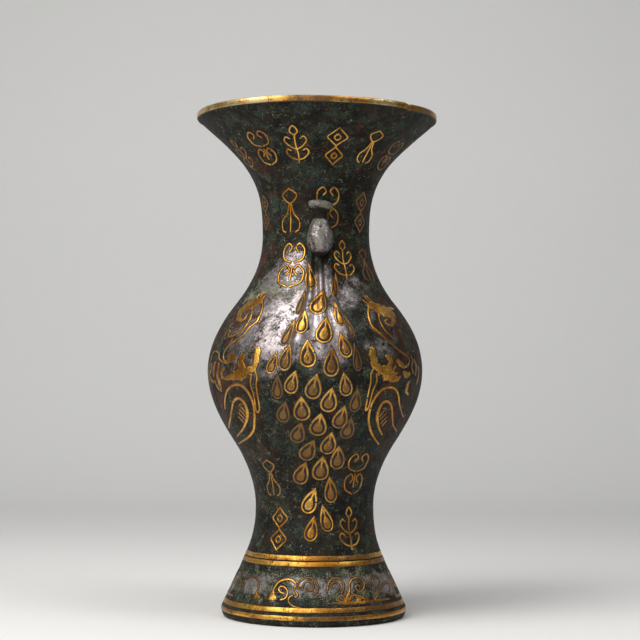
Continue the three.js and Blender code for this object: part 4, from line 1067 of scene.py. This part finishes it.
def painted(name):
    """The material of a name, painted on its first use."""
    if name not in bpy.data.materials:
        material = bpy.data.materials.new(name)
        material.use_nodes = True
        shading = Shading(material.node_tree)
        shader = material.node_tree.nodes["Principled BSDF"]
        place = shading.node("ShaderNodeTexCoord", {}).outputs["Object"]
        paint, group = PAINTS[name]
        *values, height, distance = paint(shading, place, settings(group))
        for label, value in zip(("Base Color", "Metallic", "Roughness", "Specular IOR Level"), values):
            shading.put(shader.inputs[label], value)
        if height is not None:
            shading.bump(shader, height, distance)
    return bpy.data.materials[name]


# ---- studio ----

# The photograph's frame is square. The camera stands level in front of the vase, its picture's middle is
# above its own horizon, and the vase leans a little in the frame.
PICTURE = 640.0
HORIZON_ROW = 385.0
AXIS_COLUMN = 313.6
FOOT_ROW = 614.5
FOCAL_PIXELS = 1640.0
AIM = Vector((0.0, 0.0, 0.17))
# The paper, in metres: where it starts to bend up, the bend's radius, its height and half its width.
BEND_Y, BEND_R, PAPER_TOP, PAPER_HALF = 0.9, 0.5, 3.0, 3.5
# Softboxes: name, place and size in metres, which setting has its power, and colour.
LAMPS = (
    ("left_softbox", (-0.58, -0.5, 1.04), (0.55, 0.9), "key_power", (1.0, 0.98, 0.96)),
    ("right_softbox", (0.6, -0.42, 1.02), (0.35, 0.4), "fill_power", (1.0, 0.98, 0.96)),
    ("overhead_softbox", (0.0, -0.16, 1.3), (1.2, 0.4), "top_power", (1.0, 1.0, 1.0)),
    ("front_softbox", (-0.55, -1.5, 0.7), (0.9, 0.6), "front_power", (1.0, 0.99, 0.97)),
)
AIR_COLOUR = (0.95, 0.97, 1.0, 1.0)


def make_backdrop():
    flat = [(-1.6, 0.0), (-0.6, 0.0), (0.6, 0.0), (BEND_Y, 0.0)]
    bend = [
        (BEND_Y + BEND_R * math.sin(a), BEND_R * (1 - math.cos(a))) for a in np.linspace(0.1, math.pi / 2, 12)
    ]
    line = np.array(flat + bend + [(BEND_Y + BEND_R, 1.2), (BEND_Y + BEND_R, PAPER_TOP)])
    x = np.linspace(-PAPER_HALF, PAPER_HALF, 8)
    surface = Surface(("pale_paper",))
    surface.add(np.stack(np.broadcast_arrays(x, line[:, :1], line[:, 1:]), -1), round_columns=False)
    surface.build("studio_paper")


def make_lamps():
    for name, place, size, power, colour in LAMPS:
        data = bpy.data.lights.new(name, "AREA")
        data.shape = "RECTANGLE"
        data.size, data.size_y = size
        data.energy = getattr(settings("studio"), power)
        data.color = colour
        lamp = bpy.data.objects.new(name, data)
        lamp.location = place
        lamp.rotation_euler = (AIM - lamp.location).to_track_quat("-Z", "Y").to_euler()
        bpy.context.collection.objects.link(lamp)
    world = bpy.data.worlds.new("studio_air")
    world.use_nodes = True
    background = world.node_tree.nodes["Background"]
    background.inputs["Color"].default_value = AIR_COLOUR
    background.inputs["Strength"].default_value = settings("studio").air
    bpy.context.scene.world = world


def make_camera():
    studio = settings("studio")
    data = bpy.data.cameras.new("studio_camera")
    data.sensor_width = 36.0
    data.lens = FOCAL_PIXELS / PICTURE * data.sensor_width
    data.shift_y = (HORIZON_ROW - PICTURE / 2) / PICTURE
    data.clip_end = 20.0
    camera = bpy.data.objects.new("studio_camera", data)
    middle = AXIS_COLUMN + math.tan(studio.roll) * (FOOT_ROW - HORIZON_ROW)
    aside = (middle - PICTURE / 2) / FOCAL_PIXELS * studio.camera_distance
    stand = Matrix.Translation((-aside, -studio.camera_distance, studio.camera_height))
    level = Matrix.Rotation(math.pi / 2, 4, "X")
    camera.matrix_world = stand @ level @ Matrix.Rotation(studio.roll, 4, "Z")
    bpy.context.collection.objects.link(camera)
    bpy.context.scene.camera = camera
    bpy.context.scene.view_settings.view_transform = "Standard"


# ---- settings, operators and the sidebar ----


def whole(name, description, default, least):
    return IntProperty(name=name, description=description, default=default, min=least)


def amount(name, description, default, **options):
    return FloatProperty(name=name, description=description, default=default, **options)


def length(name, description, default):
    return amount(name, description, default, unit="LENGTH", precision=5)


def tint(name, description, default):
    options = {"subtype": "COLOR", "size": 3, "min": 0.0, "max": 1.0}
    return FloatVectorProperty(name=name, description=description, default=default, **options)


class VaseCasting(bpy.types.PropertyGroup):
    wall: length("Wall", "Thickness of the bronze, square to the surface", 0.003)
    unevenness: length("Unevenness", "How far the casting strays from a true turned form", 0.00035)
    rim_dent: length("Rim dent", "Depth of the knock in the lip", 0.0007)
    rim_crack: amount("Rim crack", "Where the knock is, in degrees from the front", 47.5)
    rim_sag: length("Rim sag", "How far the right of the lip lies below the left", 0.0006)
    small_holes: whole("Small holes", "Casting holes strewn over the body", 150, 0)
    sides: whole("Sides", "Facets round the casting", 400, 32)
    step: length("Step", "Height of each row of facets", 0.0008)


class VaseGold(bpy.types.PropertyGroup):
    band_width: length("Band width", "Width of each foot band", 0.003)
    proud: length("Proud", "How far the foot bands stand out", 0.00012)
    groove_depth: length("Groove depth", "Depth of the grooves that the bands lie in", 0.0005)
    lip_seam: amount("Lip seam", "Azimuth where the lip's gold meets its end", -22.0)
    side_scrolls_from: amount("Side scrolls", "Azimuth where the side scrolls start", 70.0)


class VaseBirds(bpy.types.PropertyGroup):
    turn: amount("Turn", "Azimuth of the front bird, in degrees", 4.0)
    head_height: length("Head height", "Height of the widest part of the head", 0.237)


class VaseFinish(bpy.types.PropertyGroup):
    bronze_dark: tint("Dark bronze", "Deepest tone of the metal", (0.006, 0.006, 0.005))
    bronze_brown: tint("Brown bronze", "Warmer tone of the metal", (0.022, 0.017, 0.011))
    # The skin's grey is also painted sheen where the shoulder and the foot catch the light.
    skin: tint("Skin", "Smooth grey skin where the bronze is rubbed", (0.39, 0.348, 0.35))
    skin_dark: tint("Dark skin", "Darker parts of the smooth skin", (0.13, 0.112, 0.11))
    red_oxide: tint("Red oxide", "Rusty brown patches", (0.062, 0.02, 0.012))
    verdigris: tint("Verdigris", "Green of the patina", (0.036, 0.054, 0.036))
    pale_verdigris: tint("Pale verdigris", "Lightest green of the patina", (0.26, 0.275, 0.18))
    blue_crust: tint("Blue crust", "Blue-green crust that is here and there", (0.028, 0.055, 0.055))
    # A painted highlight: the pale gold laid on the lip where the lamps would shine.
    painted_gold_highlight: tint("Pale gold", "Polished gold of the lip", (1.0, 0.82, 0.42))
    gold_bright: tint("Bright gold", "Clean gold", (0.9, 0.49, 0.09))
    gold_deep: tint("Deep gold", "Darker gold", (0.46, 0.2, 0.024))
    gold_worn: tint("Worn gold", "Dulled gold", (0.2, 0.098, 0.022))
    tarnish: tint("Tarnish", "Brown stains on the gold", (0.1, 0.038, 0.009))
    groove: tint("Groove", "Dark of the grooves, holes and edges", (0.012, 0.008, 0.006))


class VaseStudio(bpy.types.PropertyGroup):
    paper: tint("Paper", "Colour of the floor", (0.76, 0.76, 0.75))
    paper_wall: tint("Upright paper", "Colour of the paper where it stands up", (0.95, 0.95, 0.94))
    key_power: amount("Key power", "Power of the left softbox, in watts", 11.0)
    fill_power: amount("Fill power", "Power of the right softbox, in watts", 2.5)
    top_power: amount("Top power", "Power of the overhead softbox, in watts", 6.0)
    front_power: amount("Front power", "Power of the softbox in front, in watts", 7.0)
    air: amount("Air", "Strength of the light from all round", 0.08)
    camera_height: length("Camera height", "Height of the lens over the floor", 0.1478)
    camera_distance: length("Camera distance", "Distance of the lens from the vase's axis", 1.056)
    roll: amount("Roll", "How far the vase leans in the frame", math.radians(0.37), subtype="ANGLE")


class VASE_OT_casting(bpy.types.Operator):
    """Builds the cast bronze body with its floor"""

    bl_idname = "vase.casting"
    bl_label = "Cast body"

    def execute(self, context):
        make_casting()
        return {"FINISHED"}


class VASE_OT_lip_binding(bpy.types.Operator):
    """Folds the gold binding over the lip"""

    bl_idname = "vase.lip_binding"
    bl_label = "Lip binding"

    def execute(self, context):
        make_lip_binding()
        return {"FINISHED"}


class VASE_OT_foot_gold(bpy.types.Operator):
    """Lays the gold bands and the scroll frieze round the foot"""

    bl_idname = "vase.foot_gold"
    bl_label = "Foot bands and frieze"

    def execute(self, context):
        make_foot_bands()
        make_foot_frieze()
        return {"FINISHED"}


class VASE_OT_peacocks(bpy.types.Operator):
    """Sets the peacocks' heads on the neck and their trains on the shoulder"""

    bl_idname = "vase.peacocks"
    bl_label = "Peacocks"

    def execute(self, context):
        make_trains()
        make_heads()
        return {"FINISHED"}


class VASE_OT_feather_eyes(bpy.types.Operator):
    """Lets the gold feather eyes into the trains and the body"""

    bl_idname = "vase.feather_eyes"
    bl_label = "Feather eyes"

    def execute(self, context):
        make_feather_eyes()
        return {"FINISHED"}


class VASE_OT_flank_panels(bpy.types.Operator):
    """Lets the gold beast panels into the flanks"""

    bl_idname = "vase.flank_panels"
    bl_label = "Flank panels"

    def execute(self, context):
        make_flank_panels()
        return {"FINISHED"}


class VASE_OT_ornaments(bpy.types.Operator):
    """Lets small wire ornaments into the neck and the lower body"""

    bl_idname = "vase.ornaments"
    bl_label = "Small ornaments"

    def execute(self, context):
        make_ornaments()
        return {"FINISHED"}


class VASE_OT_studio(bpy.types.Operator):
    """Sets up the paper, the lamps and the camera"""

    bl_idname = "vase.studio"
    bl_label = "Studio"

    def execute(self, context):
        make_backdrop()
        make_lamps()
        make_camera()
        return {"FINISHED"}


OPERATORS = (
    VASE_OT_casting,
    VASE_OT_lip_binding,
    VASE_OT_foot_gold,
    VASE_OT_peacocks,
    VASE_OT_feather_eyes,
    VASE_OT_flank_panels,
    VASE_OT_ornaments,
    VASE_OT_studio,
)
SETTINGS = {
    "vase_casting": VaseCasting,
    "vase_gold": VaseGold,
    "vase_birds": VaseBirds,
    "vase_finish": VaseFinish,
    "vase_studio": VaseStudio,
}


class VASE_PT_sidebar(bpy.types.Panel):
    bl_idname = "VASE_PT_sidebar"
    bl_label = "Hu vase"
    bl_space_type = "VIEW_3D"
    bl_region_type = "UI"
    bl_category = "Vase"

    def draw(self, context):
        for operator in OPERATORS:
            self.layout.operator(operator.bl_idname)
        for name, group in SETTINGS.items():
            box = self.layout.box()
            for label in group.__annotations__:
                box.prop(getattr(context.scene, name), label)


def register():
    for item in (*SETTINGS.values(), *OPERATORS, VASE_PT_sidebar):
        bpy.utils.register_class(item)
    for name, group in SETTINGS.items():
        setattr(bpy.types.Scene, name, PointerProperty(type=group))


def unregister():
    for name in SETTINGS:
        delattr(bpy.types.Scene, name)
    for item in (VASE_PT_sidebar, *OPERATORS, *SETTINGS.values()):
        bpy.utils.unregister_class(item)


def main():
    register()
    for operator in OPERATORS:
        group, action = operator.bl_idname.split(".")
        getattr(getattr(bpy.ops, group), action)()


if __name__ == "__main__":
    main()
